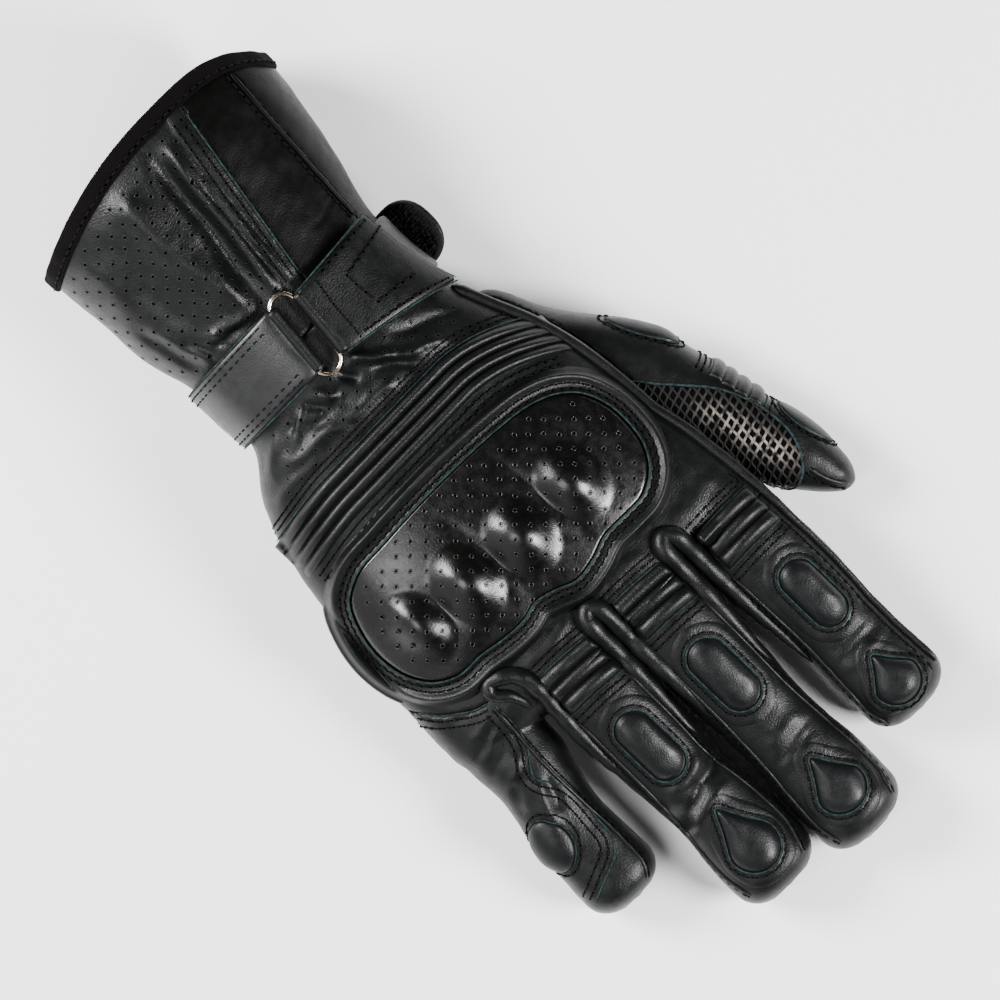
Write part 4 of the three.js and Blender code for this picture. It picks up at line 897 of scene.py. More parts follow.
def cloth(name, colour, pale, scale, roughness=0.9, direction="X", sheen=0.3):
    """Woven tape or pile: fine ribs across it, broken by noise."""
    finish, nodes, links, shader = new_finish(name)
    ribs = pattern(nodes, links, "ShaderNodeTexWave", bands_direction=direction, Scale=scale, Distortion=1.4,
                   Detail=2.0, Detail_Scale=2.0)
    fuzz = pattern(nodes, links, "ShaderNodeTexNoise", Scale=1900.0, Detail=3.0)
    tinted(nodes, links, fuzz.outputs["Fac"], colour, pale, shader)
    shader.inputs["Roughness"].default_value = roughness
    shader.inputs["Specular IOR Level"].default_value = 0.06
    shader.inputs["Sheen Weight"].default_value = sheen
    shader.inputs["Sheen Roughness"].default_value = 0.4
    relief_of(nodes, links, shader, [(ribs.outputs["Fac"], 0.5, 0.0003), (fuzz.outputs["Fac"], 0.5, 0.0003)])
    return finish


def metal(name, colour, roughness):
    """Plated wire with faint draw marks."""
    finish, nodes, links, shader = new_finish(name)
    marks = pattern(nodes, links, "ShaderNodeTexNoise", Scale=900.0, Detail=3.0)
    spread = ranged(nodes, links, marks.outputs["Fac"], 0.0, 1.0, roughness - 0.05, roughness + 0.12)
    links.new(spread, shader.inputs["Roughness"])
    shader.inputs["Base Color"].default_value = (*colour, 1)
    shader.inputs["Metallic"].default_value = 1.0
    return finish


def yarn(name, dark, pale):
    """Knitted yarn: dark, and pale along a band as a painted highlight, which the piece's own attribute says.
    """
    finish, nodes, links, shader = new_finish(name)
    noise = pattern(nodes, links, "ShaderNodeTexNoise", Scale=520.0, Detail=2.0)
    # the attribute gives where the yarn's painted highlight lies
    painted_highlight_band = add_node(nodes, "ShaderNodeAttribute", attribute_name="pale")
    share = add_node(nodes, "ShaderNodeMath", operation="MULTIPLY")
    links.new(painted_highlight_band.outputs["Fac"], share.inputs[0])
    links.new(ranged(nodes, links, noise.outputs["Fac"], 0.36, 0.62), share.inputs[1])
    tinted(nodes, links, share.outputs["Value"], dark, pale, shader)
    shader.inputs["Roughness"].default_value = 0.7
    shader.inputs["Specular IOR Level"].default_value = 0.2
    return finish


def plain(name, colour, roughness, gloss, broken=0.5):
    """Thread, cut edges, and the painted shade in needle holes: one colour, broken by noise in its tone."""
    finish, nodes, links, shader = new_finish(name)
    noise = pattern(nodes, links, "ShaderNodeTexNoise", Scale=800.0, Detail=2.0)
    darker, paler = [(1 - broken) * c for c in colour], [min(1.0, 1.4 * c) for c in colour]
    tinted(nodes, links, ranged(nodes, links, noise.outputs["Fac"], 0.38, 0.62), darker, paler, shader)
    shader.inputs["Roughness"].default_value = roughness
    shader.inputs["Specular IOR Level"].default_value = gloss
    return finish


LEATHER = leather("grain_leather", (0.0021, 0.0023, 0.0024), 0.38, 0.5, 0.2)
SOFT_LEATHER = leather("soft_panel_leather", (0.0011, 0.0011, 0.0010), 0.42, 0.4, 0.08)
PERFORATED = leather("perforated_leather", (0.0023, 0.0025, 0.0026), 0.37, 0.55, 0.22)
GUARD_LEATHER = leather("guard_leather", (0.0013, 0.0013, 0.0012), 0.25, 0.2, 0.4, 0.1)
PAD_LEATHER = leather("pad_leather", (0.0028, 0.0031, 0.0033), 0.38, 0.4, 0.2)
STRAP_LEATHER = leather("strap_leather", (0.0030, 0.0032, 0.0035), 0.36, 0.35, 0.5)
PALM_LEATHER = leather("palm_leather", (0.0026, 0.0027, 0.0027), 0.42, 1.0, 0.22)
LINING = cloth("lining", (0.0016, 0.0016, 0.0018), (0.0050, 0.0050, 0.0055), 420.0)
BINDING = cloth("binding_tape", (0.0007, 0.0004, 0.0005), (0.0026, 0.0015, 0.0020), 560.0, sheen=0.0)
PILE = cloth("loop_pile", (0.0002, 0.0002, 0.0002), (0.0150, 0.0150, 0.0150), 300.0, 1.0, "Y", 0.02)
MESH_BACKING = cloth("mesh_backing", (0.0003, 0.0003, 0.0003), (0.0008, 0.0008, 0.0008), 700.0, 0.9,
                     sheen=0.0)
# the pale colour is the yarn's painted highlight
MESH_YARN = yarn("mesh_yarn", (0.0014, 0.0014, 0.0013), (0.22, 0.19, 0.17))
NICKEL = metal("warm_nickel", (0.72, 0.60, 0.48), 0.17)
THREAD_FINISH = plain("thread", (0.0008, 0.0009, 0.0009), 0.65, 0.08)
CUT_EDGE = plain("cut_leather_edge", (0.0066, 0.0175, 0.0180), 0.8, 0.2, 0.75)
# near black: painted shade in the needle holes and in the punched holes
HOLE_SHADE_FINISH = plain("needle_hole_shade", (0.0002, 0.0002, 0.0002), 1.0, 0.0)


# The bag's panels
# The seam between the hand's back and the fingers: under the ribs, and along the little finger's panel
ROOT_SEAM = [(31.2, 52), (31.8, 39.4), (34.2, 36.2), (37.4, 34.6), (40.5, 34.8), (43.6, 37.6), (47.5, 36.4),
             (52.0, 33.4), (56.6, 29.6), (59.4, 25.4), (64.0, 18.0)]


def make_leather():
    """The hand's back, the upper sides of its fingers, the palm with their undersides, the thumb and the
    cuff's panels, each a closed wall."""
    x, y, z = AXES[0][:, None, None], AXES[1][None, :, None], AXES[2][None, None, :]
    above = side_level(AXES[1])[None, :, None] - z
    past_strap = STRAP_Y - y
    past_roots = y - np.interp(x, *zip(*ROOT_SEAM))
    shell = hollowed(BAG)
    upper = np.maximum(above, past_strap)
    leather_piece("back_leather", shell, np.maximum(upper, past_roots), LEATHER, ["hand_back"],
                  WRIST_TO_TIPS)
    leather_piece("finger_leather", shell, np.maximum(upper, -past_roots), LEATHER,
                  [f"{name}_stall" for name in FINGERS], WRIST_TO_TIPS)
    leather_piece("palm_leather", shell, np.maximum(-above, past_strap), PALM_LEATHER,
                  ["hand_palm"], WRIST_TO_TIPS)
    ends = np.maximum(cuff_edge(x) - y, -past_strap)
    right = seam_x(y, *MIDDLE_SEAM) - x
    left = x - seam_x(y, *THUMB_SIDE_SEAM)
    leather_piece("cuff_perforated_leather", shell, np.maximum(np.maximum(ends, right), above),
                  PERFORATED, ["cuff_perforated_panel"], CUFF_PART)
    smooth_panel = np.maximum(np.maximum(ends, -right), np.maximum(above, -left))
    leather_piece("cuff_smooth_leather", shell, smooth_panel, SOFT_LEATHER, ["cuff_smooth_panel"],
                  CUFF_PART)
    leather_piece("cuff_under_leather", shell, np.maximum(ends, np.minimum(-above, left)),
                  SOFT_LEATHER, ["cuff_under_panel"], CUFF_PART)
    outside_hand = 0.25 - BAG
    leather_piece("thumb_leather", hollowed(THUMB_BAG), outside_hand, LEATHER, ["thumb"],
                  THUMB_PART)


# Knuckle guard
GUARD_LINE = curve(GUARD_OUTLINE, 220, True)


def on_line(line, u):
    """Places on a closed line at shares of its length, mixed from the two nearest of its points."""
    place = np.asarray(u) % 1 * len(line)
    i = place.astype(int) % len(line)
    t = (place - np.floor(place))[..., None]
    return line[i] * (1 - t) + line[(i + 1) % len(line)] * t


def outline_at(u):
    """Points of the guard's outline, and the directions out of it, at shares of its length."""
    ahead = on_line(unit(np.roll(GUARD_LINE, -2, axis=0) - np.roll(GUARD_LINE, 2, axis=0)), u)
    return on_line(GUARD_LINE, u), np.stack([ahead[..., 1], -ahead[..., 0]], axis=-1)


GUARD_EDGE = 1.6
GUARD_SWELL = 2.0
GUARD_SUNK = 0.6                # how far the shell's foot lies below the hand's skin
RIM_SUNK = 1.2


def guard_place(u, v):
    """The outline drawn in towards the guard's middle by v, on the hand's skin."""
    edge, _ = outline_at(u)
    middle = np.asarray(GUARD_MIDDLE)
    spot = middle + (edge - middle) * v[..., None]
    return hand_top(spot[..., 0], spot[..., 1])


def guard_shape(x, y):
    """The shell's height over its own edge: a dome (1 - r squared) squared for each knuckle, less the
    creases between them."""
    domes = np.zeros_like(x)
    for kx, ky, share in KNUCKLES:
        far = ((x - kx) / 10.6) ** 2 + ((y - ky) / 13.6) ** 2
        domes = np.maximum(domes, KNUCKLE_HEIGHT * share * np.clip(1 - far, 0, 1) ** 2)
    for cx, long in CREASES:
        cut = np.exp(-((x - cx + 0.12 * (y - 9)) / 2.3) ** 2) * np.exp(-((y - 9) / (1.3 * long)) ** 2)
        domes = domes - 0.9 * cut
    return domes


def guard_top(u, v):
    """The shell's swell over the skin, 1 less a power of v, with its knuckles and creases added."""
    points, _ = guard_place(u, v)
    swell = GUARD_EDGE + GUARD_SWELL * (1 - v**2.4)
    shape = guard_shape(points[..., 0], points[..., 1]) * step(1 - v, 0.0, 0.3)
    return raised(GUARD_SUNK, swell + shape, np.sqrt(np.clip((1 - v) / 0.018, 0, 1)))


RIM_WIDTH = 8.2
RIM_UNDER = 0.4                 # how far it runs under the shell


def rim_place(u, v):
    """The outline moved outwards by v, on the hand's skin."""
    edge, out = outline_at(u)
    spot = edge + out * (v[..., None] * RIM_WIDTH - RIM_UNDER)
    return hand_top(spot[..., 0], spot[..., 1])


def rim_shape(reach):
    """Height of the padded border at a distance from the shell's edge: a stitched flat, then a roll."""
    flat = 1.6 - 0.45 * step(reach, 0.2, 1.4)
    roll = 2.0 * np.exp(-((reach - 5.1) / 1.75) ** 2)
    fall = step(7.8 - reach, 0, 2.8)
    return (flat + roll) * fall


def rim_top(_, v):
    """The border's height, drawn down where it meets the shell."""
    return raised(RIM_SUNK, rim_shape(v * RIM_WIDTH - RIM_UNDER), np.sqrt(np.clip(v / 0.05, 0, 1)))


def make_guard():
    """The glossy shell over the knuckles, and its padded border with a cut edge and two rows of stitches."""
    coarse = 1
    pillow("guard_shell", guard_place, guard_top, sunk(GUARD_SUNK), 240 // coarse, 70 // coarse,
           GUARD_LEATHER, "guard_leather", ["knuckle_guard"], wrap=True, pole=True)
    border = pillow("guard_border", rim_place, rim_top, sunk(RIM_SUNK), 240 // coarse, 26,
                    LEATHER, "leather", ["guard_rim"], wrap=True)
    edge, out = outline_at(np.linspace(0, 1, 221))

    def round_guard(reach):
        spot = edge + out * reach
        path, normal = hand_top(spot[:, 0], spot[:, 1])
        path[:, 2] += rim_shape(np.full(len(path), reach)) + 0.12
        return path, normal

    path, normal = round_guard(0.15)
    raw_edge(path[:-1], normal[:-1], 0.26, True)
    sew(*round_guard(1.25))
    sew(*round_guard(2.75))


def lattice(low_x, high_x, low_y, high_y, pitch_x, pitch_y, shake, seed):
    """Staggered places in rows, each moved a little."""
    rows = np.arange(low_y, high_y, pitch_y)
    across = np.arange(low_x, high_x, pitch_x)
    x = across[None, :] + np.where(np.arange(len(rows)) % 2 == 0, 0, pitch_x / 2)[:, None]
    y = np.repeat(rows[:, None], len(across), axis=1)
    rng = np.random.default_rng(seed)
    x = x + rng.uniform(-shake, shake, x.shape)
    y = y + rng.uniform(-shake, shake, y.shape)
    return x.ravel(), y.ravel()


def inside_outline(x, y, outline, shrink):
    """Whether points lie inside a closed outline, by the turns of the rays to its corners."""
    outline = np.asarray(outline, float)
    middle = outline.mean(axis=0)
    outline = middle + (outline - middle) * shrink
    nxt = np.roll(outline, -1, axis=0)
    above = (outline[:, 1][:, None] > y) != (nxt[:, 1][:, None] > y)
    rise = np.where(nxt[:, 1] == outline[:, 1], 1e-9, nxt[:, 1] - outline[:, 1])[:, None]
    across = (nxt[:, 0] - outline[:, 0])[:, None] * (y - outline[:, 1][:, None]) / rise
    return (above & (x < across + outline[:, 0][:, None])).sum(axis=0) % 2 == 1


def craters(spots, up, radius, rim):
    """Punched holes: a low lip round a dark floor, which is painted shade standing in for the hole. Returns
    the lips and the floors.
    """
    side = unit(np.cross(up, ASLANT))
    ahead = np.cross(up, side)
    sides = 12
    a = 2 * np.pi * np.arange(sides) / sides
    shares = np.array([1.5, 1.25, 1.0, 0.8])
    rises = np.array([-0.12, rim, rim, -0.02])
    radii = np.repeat(shares, sides) * radius
    rise = np.repeat(rises, sides)
    across, along = radii * np.tile(np.cos(a), 4), radii * np.tile(np.sin(a), 4)
    points = (spots[:, None] + side[:, None] * across[None, :, None] + ahead[:, None] * along[None, :, None]
              + up[:, None] * rise[None, :, None])
    quads = tube_quads(4, sides, True)
    start = (np.arange(len(spots)) * 4 * sides)[:, None, None]
    lips = points.reshape(-1, 3), [(quads[None] + start).reshape(-1, 4)]
    return lips, dimples(spots, up, 0.95 * radius, 0.03)


def make_perforations():
    """Small punched holes in the guard, over the wrist and in the cuff's right panel."""
    floors = []
    x, y = lattice(-46, 62, -22, 38, 6.0, 3.0, 0.2, 3)
    keep = inside_outline(x, y, GUARD_OUTLINE, 0.93)
    x, y = x[keep], y[keep]
    spots, normal = on_guard(x, y)
    lips, floor = craters(spots, normal, 0.56, 0.16)
    build("guard_perforation_lips", lips[0], lips[1], GUARD_LEATHER)
    floors.append(floor)
    x, y = lattice(-30, 46, -58.5, -42.5, 5.6, 2.8, 0.4, 5)
    low = np.interp(x, [-33, 1, 6, 46], [-50, -58.5, -60, -59])
    high = np.interp(x, [-35, -25, 0, 30, 55], [-41, -43.5, -44, -44, -42])
    hand_side = np.interp(y, [-60, -42], [31, 42])
    keep = (y > low) & (y < high) & (x < hand_side)
    spots, normal = settle(on_top(x[keep], y[keep]))
    lips, floor = craters(spots, normal, 0.5, 0.05)
    cuff_x, cuff_y = lattice(-20, 46, -141, -85, 5.35, 2.7, 0.25, 8)
    keep = (cuff_x > seam_x(cuff_y, *MIDDLE_SEAM) + OVERLAP) & (cuff_y > cuff_edge(cuff_x) + 7.5)
    angle = section_angle(cuff_x[keep], cuff_y[keep])
    good = angle > 8
    spots, normal = settle(tube_point(HAND, cuff_y[keep][good], angle[good]))
    more, more_floor = craters(spots, normal, 0.62, 0.05)
    points, faces = join([lips, more])
    build("leather_perforation_lips", points, faces, PERFORATED)
    # the dark floors: painted shade in the holes
    points, faces = join(floors + [floor, more_floor])
    build("perforation_hole_shade", points, faces, HOLE_SHADE_FINISH)


def section_angle(x, y):
    """Angle round the hand's section of the point over x on its upper side."""
    x0, half, _, _, _, power = section(HAND, np.asarray(y, float))
    share = np.clip((x - x0) / half, -1, 1)
    return np.degrees(np.arccos(np.sign(share) * np.abs(share) ** (power / 2)))


def on_guard(x, y):
    """Points on the guard's own surface, with its normals from differences of its height."""
    middle = np.asarray(GUARD_MIDDLE)
    ray = np.stack([x, y], axis=-1) - middle
    angle = np.arctan2(ray[:, 1], ray[:, 0])
    outline = GUARD_LINE - middle
    around = np.arctan2(outline[:, 1], outline[:, 0]) % (2 * np.pi)
    order = np.argsort(around)
    reach = np.interp(angle % (2 * np.pi), around[order], np.linalg.norm(outline, axis=1)[order],
                      period=2 * np.pi)

    def level(px, py):
        share = np.hypot(px - middle[0], py - middle[1]) / reach
        swell = GUARD_EDGE + GUARD_SWELL * (1 - share**2.4)
        return tube_top(HAND, px, py) + swell + guard_shape(px, py) * step(1 - share, 0.0, 0.22)

    z = level(x, y)
    gx = (level(x + 0.3, y) - level(x - 0.3, y)) / 0.6
    gy = (level(x, y + 0.3) - level(x, y - 0.3)) / 0.6
    return np.stack([x, y, z], axis=-1), unit(np.stack([-gx, -gy, np.ones_like(x)], axis=-1))


# Stretch ribs
def ridges(v, count):
    """Rounded ridges side by side: half circles in section, with a tight valley between two."""
    t = (v * count) % 1
    return np.clip(1 - (2 * t - 1) ** 2, 0, 1) ** 0.62


def wrist_line(x, y):
    """The wrist ribs' course: level in the middle, and bent towards the fingers at both ends."""
    left = np.clip((-15 - x) / 29, 0, 1.15) ** 1.8 * 10.5
    right = np.clip((x - 30) / 25, 0, 1.2) ** 1.5 * 3.2
    return y + left + right


RIBS_SUNK = 1.2
RIBS_FOOT = 0.5                 # thickness of the leather in their valleys
RIBS_LEFT, RIBS_RIGHT = -46.0, 54.0
WRIST_RIBS_LOW = -39.7
WRIST_RIB_PITCH = 3.43
WRIST_RIB_COUNT = 4
FINGER_RIB_COUNT = 3


def make_wrist_ribs():
    """Four ribs across the wrist that flatten towards both sides, with cut edges and rows of stitches."""
    def place(u, v):
        x = RIBS_LEFT + (RIBS_RIGHT - RIBS_LEFT) * u
        return hand_top(x, wrist_line(x, WRIST_RIBS_LOW + WRIST_RIB_PITCH * WRIST_RIB_COUNT * v))

    def top(u, v):
        swell = RIBS_FOOT + 2.1 * ridges(v, WRIST_RIB_COUNT)
        drop = 1.0 * step(0.13 - u, 0, 0.13) + 1.5 * step(u, 0.88, 0.99)
        return raised(RIBS_SUNK, swell - drop, np.sqrt(brink(u, 0.015) * brink(v, 0.01)))

    pillow("wrist_stretch_ribs", place, top, sunk(RIBS_SUNK), 150, 84, LEATHER, "leather", ["wrist_ribs"])
    x = np.linspace(-44.5, 53.0, 90)

    def row(y):
        return np.stack([x, wrist_line(x, y)], axis=1)

    raw_edge_on_skin(row(-40.0), 0.5, 0.26)
    raw_edge_on_skin(row(-26.0)[8:82], 0.25, 0.18)
    for y in (-41.6, -43.2, -24.3, -22.3):
        sew_on_skin(row(y)[3:-2])


def make_finger_ribs():
    """Three ribs at the root of each finger, leaning a little, with a cut edge and two rows on both sides."""
    for name, (left, right, low, pitch, lean) in FINGER_RIBS.items():
        high = low + FINGER_RIB_COUNT * pitch

        def line(x, y, left=left, right=right, lean=lean):
            t = (x - left) / (right - left)
            return y - lean * t - 0.35 * np.sin(np.pi * t)

        def place(u, v, left=left, right=right, low=low, high=high, line=line, tube=FINGERS[name]):
            x = left + (right - left) * u
            y = line(x, low + (high - low) * v)
            on_hand = np.where(y < 50, tube_top(HAND, x, np.minimum(y, 44)) - 0.2, 0)
            return upright(np.stack([x, y, np.maximum(tube_top(tube, x, y), on_hand)], axis=-1))

        def top(u, v):
            swell = RIBS_FOOT + 2.2 * ridges(v, FINGER_RIB_COUNT)
            return raised(RIBS_SUNK, swell, np.sqrt(brink(u, 0.05) * brink(v, 0.012)))

        pillow(f"{name}_stretch_ribs", place, top, sunk(RIBS_SUNK), 36, 66, LEATHER, "leather",
               [f"{name}_ribs"], crowd=0.2)
        x = np.linspace(left + 0.4, right - 0.4, 18)
        for start, cut, rows in ((low, 0.0, (-1.7, -3.5)), (high, 0.1, (1.9, 3.8))):
            raw_edge_on_skin(np.stack([x, line(x, start + cut)], axis=1), 0.45)
            for offset in rows:
                sew_on_skin(np.stack([x, line(x, start + offset)], axis=1))


# Pads on the fingers
def capsule(a, half, long):
    """Outline of a straight-sided pad with round ends."""
    s, flat = np.sin(a), long - half
    return half * np.cos(a), half * s + np.sign(s) * flat * np.clip(np.abs(5 * s), 0, 1)


def teardrop(a, half, past, before):
    """Outline of a drop: round towards the fingertip, drawn to a point towards the hand."""
    s, c = np.sin(a), np.cos(a)
    point = np.clip(-s, 0, 1)
    along = np.where(s > 0, past * s, -before * (point * (0.55 + 0.45 * point**3)))
    return half * c * (1 - 0.5 * point**2.2), along


PAD_SUNK = 1.4
PAD_EDGE = 0.25                 # height of a pad's edge over the skin
LIP_SUNK = 0.9
LIP_REACH = 6.4                 # how far the leather round a pad is swollen
LIP_UNDER = 0.3
SIDE_PAD_SUNK = 0.8
LIPS = []


def pad(name, middle, outline, replaced, rise=2.5):
    """A raised pad in a window of the leather: a dome, the cut edge round it, a swollen lip and stitches."""
    def place(u, v):
        px, py = outline(2 * np.pi * u)
        return upright(on_top(middle[0] + px * v, middle[1] + py * v))

    def top(_, v):
        dome = rise * np.clip(1 - (v / 0.92) ** 3.0, 0, 1) ** 0.62
        return raised(PAD_SUNK, PAD_EDGE + dome, np.sqrt(np.clip((1 - v) / 0.05, 0, 1)))

    piece = pillow(name, place, top, sunk(PAD_SUNK), 72, 22, PAD_LEATHER, "pad_leather", replaced,
                   wrap=True, pole=True, crowd=0.5)

    def border(u, reach):
        a = 2 * np.pi * u
        px, py = outline(a)
        ahead = unit(np.stack(outline(a + 0.01), axis=-1) - np.stack(outline(a - 0.01), axis=-1))
        return middle[0] + px + ahead[..., 1] * reach, middle[1] + py - ahead[..., 0] * reach

    turns, reach = np.linspace(0, 1, 73), np.linspace(0, LIP_REACH, 33)
    x, y = border(turns[:, None], reach[None, :])
    fall = np.maximum(np.abs(height(x + 0.6, y) - height(x - 0.6, y)),
                      np.abs(height(x, y + 0.6) - height(x, y - 0.6)))
    steep = np.concatenate([fall > 1.8, np.ones((73, 1), bool)], axis=1)
    room = reach[np.minimum(np.argmax(steep, axis=1), 32)][:-1]
    room = np.min([np.roll(room, k) for k in range(-2, 3)], axis=0)
    room = np.maximum(np.mean([np.roll(room, k) for k in range(-2, 3)], axis=0), 1.5)

    def lip_wide(u):
        """The border ends where the finger's side falls away."""
        return np.interp(u, turns, np.append(room, room[0]))

    def lip_place(u, v):
        return upright(on_top(*border(u, lip_wide(u) * v - LIP_UNDER)))

    def lip_top(u, v):
        reach = lip_wide(u) * v - LIP_UNDER
        swell = 0.34 * np.exp(-((reach / 0.7) ** 2)) + 0.2 * np.exp(-(((reach - 2.4) / 1.9) ** 2)) + 0.08
        return raised(LIP_SUNK, swell, np.sqrt(np.clip(v / 0.05, 0, 1)) * step(1 - v, -0.25, 0.45))

    LIPS.append(pillow_mesh(lip_place, lip_top, sunk(LIP_SUNK), 72, 16, wrap=True))
    turns = np.linspace(0, 1, 61)
    raw_edge(*upright(on_top(*border(turns[:-1], 0.0), 0.5)), 0.24, True)
    sew(*upright(on_top(*border(turns, 1.2), 0.24)))


def make_pads():
    """Cushions on the knuckles and fingertips, and on the sides of the little finger and the thumb."""
    for name, (x, y, *sizes) in JOINT_PADS.items():
        pad(f"{name}_knuckle_cushion", (x, y), lambda a, sizes=sizes: capsule(a, *sizes),
            [f"{name}_joint_pad"])
    for name, (x, y, *sizes) in TIP_PADS.items():
        pad(f"{name}_fingertip_cushion", (x, y), lambda a, sizes=sizes: teardrop(a, *sizes),
            [f"{name}_tip_pad"], 1.9)
    side_pad("little_knuckle_cushion", FINGERS["little"], 79.0, 50.0, 7.6, 8.4, ["little_joint_pad"], 2.0)
    side_pad("thumb_knuckle_cushion", THUMB, 47.0, 168.0, 6.0, 9.4, ["thumb_joint_pad"], 0.8)
    side_pad("thumb_base_cushion", THUMB, -4.5, 160.0, 5.6, 10.0, ["thumb_base_pad"], 0.8)
    points, faces = join(LIPS)
    build("cushion_borders", points, faces, LEATHER)


def side_pad(name, tube, y0, degrees, half, long, replaced, rise):
    """A round pad on the flank of a finger, laid out along the section's angle."""
    _, width, _, up, _, _ = section(tube, np.array(y0))
    turn = np.degrees(half / (0.5 * (width + up)))

    def spot(a, share):
        return settle(tube_point(tube, y0 + long * np.sin(a) * share, degrees - turn * np.cos(a) * share))

    def top(_, v):
        return raised(SIDE_PAD_SUNK, 0.3 + rise * (1 - v**2.6) ** 0.6, np.sqrt(np.clip((1 - v) / 0.05, 0, 1)))

    piece = pillow(name, lambda u, v: spot(2 * np.pi * u, v), top, sunk(SIDE_PAD_SUNK), 60, 16, PAD_LEATHER,
                   "pad_leather", replaced, wrap=True, pole=True, crowd=0.5)
    a = np.linspace(0, 2 * np.pi, 57)
    path, normal = spot(a, 1.0)
    raw_edge((path + 0.3 * normal)[:-1], normal[:-1], 0.24, True)
    path, normal = spot(a, 1.17)
    sew(path + 0.1 * normal, normal)


# Rolls, piping and seams
# Rolled welts round the crotches of the fingers, in plan, with the height over the skin
ROLLS = {
    "index_middle": [(-28.6, 96, -2.0), (-28.2, 84, -0.6), (-27.7, 74, 0.4), (-27.5, 64, 1.0),
                     (-27.4, 54, 1.3), (-27.4, 47, 1.5), (-26.9, 42.4, 1.5), (-24.7, 40.4, 1.5),
                     (-22.5, 42.4, 1.5), (-21.9, 47, 1.5), (-21.7, 54, 1.3), (-21.5, 62, 1.0),
                     (-21.0, 72, 0.3), (-20.4, 82, -0.7), (-20.0, 92, -2.0)],
    "middle_ring": [(1.8, 94, -2.0), (2.0, 83, -0.7), (2.3, 73, 0.3), (2.4, 62, 1.0), (2.4, 52, 1.4),
                    (2.4, 44.6, 1.6), (3.0, 40.8, 1.6), (5.1, 39.2, 1.6), (7.2, 40.8, 1.6),
                    (7.8, 44.6, 1.6), (7.9, 52, 1.4), (8.2, 62, 1.0), (8.6, 72, 0.3), (9.2, 82, -0.7),
                    (9.8, 92, -2.0)],
    "ring_little": [(30.6, 88, -2.0), (31.6, 79, -0.8), (32.1, 70, 0.2), (32.0, 62, 0.9), (31.5, 53, 1.3),
                    (31.0, 44.4, 1.6), (31.8, 39.4, 1.7), (34.2, 36.2, 1.7), (37.4, 34.4, 1.7),
                    (40.0, 34.0, 1.7), (41.3, 35.6, 1.7), (40.4, 38.2, 1.7), (38.2, 40.4, 1.5),
                    (36.6, 44.0, 0.8), (36.2, 50.0, -1.4)],
}
ROLL_RADIUS = {"index_middle": 2.8, "middle_ring": 2.75, "ring_little": 2.5}


def roll_height(x, y):
    """Skin height for a roll: never lower than the fingers' shoulders where it hangs over a gap."""
    z = height(x, y)
    for tube in FINGERS.values():
        x0, half, widest, up, _, _ = section(tube, np.clip(y, tube["from"] + 24, tube["to"] - 12))
        near = np.abs(x - x0) < half + 3.5
        z = np.where(near, np.maximum(z, widest + 0.5 * up), z)
    return z


def bell(count):
    """Weights for a running mean: a raised cosine that sums to 1."""
    return np.hanning(count) / np.hanning(count).sum()


def make_rolls():
    """Rolled welts laid round the crotches of the fingers, a little uneven in thickness."""
    for name, rows in ROLLS.items():
        line = curve(rows, 150)
        z = roll_height(line[:, 0], line[:, 1]) + line[:, 2] - 0.3 * ROLL_RADIUS[name]
        z = np.convolve(np.pad(z, 7, mode="edge"), bell(15), mode="valid")
        path = np.column_stack([line[:, :2], z])
        wave = 1 + 0.05 * np.sin(np.arange(len(path)) * 0.55)
        points, faces = sweep_mesh(path, UP, tapered(len(path), ROLL_RADIUS[name], 0.3) * wave, 18)
        build(f"{name}_crotch_roll", points, faces, LEATHER, [f"{name}_roll"])


PIPING = [(-33.5, -52), (-38.4, -42), (-43.6, -31), (-47.0, -19), (-49.2, -6), (-50.3, 8), (-51.3, 22),
          (-52.4, 36), (-53.2, 50), (-53.8, 64), (-54.0, 78), (-53.6, 92), (-53.4, 104), (-53.6, 114),
          (-53.2, 121)]
PIPING_RADIUS = 1.75


def make_piping():
    """The rolled edge on the thumb's side, carried up the index finger's outer seam."""
    line = curve(PIPING, 170)
    hand_side = tube_point(HAND, line[:, 1], 160.0)
    finger_side = tube_point(FINGERS["index"], np.maximum(line[:, 1], 25), 152.0)
    share = step(line[:, 1], 30, 50)[:, None]
    guess = hand_side * (1 - share) + finger_side * share
    guess[:, 1] = line[:, 1]
    guess[:, 0] = 0.35 * guess[:, 0] + 0.65 * line[:, 0]
    path, normal = settle(guess, 0.35, BAG)
    radius = PIPING_RADIUS * (1 - 0.42 * step(line[:, 1], 40, 75))
    points, faces = sweep_mesh(path, normal, radius * tapered(len(path), 1.0, 0.02), 14)
    build("thumb_side_roll", points, faces, LEATHER, ["thumb_side_piping"])
    inner, up = settle(path + np.array([3.4, 0, 1.2]), 0.05, BAG)
    keep = line[:, 1] > 40
    sew(inner[keep], up[keep])


# Seams along the fingers' edges, in plan: each with the side that its stitches lie on
FINGER_SEAMS = [
    ([(-30.2, 63), (-30.5, 78), (-30.7, 94), (-29.9, 108), (-29.6, 118), (-31.2, 124.6)], 1.15),
    ([(-19.7, 60), (-19.4, 78), (-18.9, 96), (-19.5, 110), (-20.1, 122), (-19.6, 132), (-17.4, 138.4)],
     -1.15),
    ([(1.2, 60), (1.3, 78), (1.6, 94), (2.4, 108), (3.6, 120), (4.0, 130), (2.6, 137.6)], 1.15),
    ([(10.0, 60), (10.3, 78), (10.8, 94), (9.6, 104), (8.9, 114), (9.4, 124), (12.2, 131.6)], -1.15),
    ([(29.9, 60), (30.2, 78), (30.6, 94), (31.0, 102), (32.3, 112), (32.7, 122), (31.4, 129.6)], 1.15),
    ([(43.6, 40), (44.4, 50), (45.2, 60), (45.3, 76), (45.1, 92), (46.4, 102), (48.6, 105)], -1.15),
]


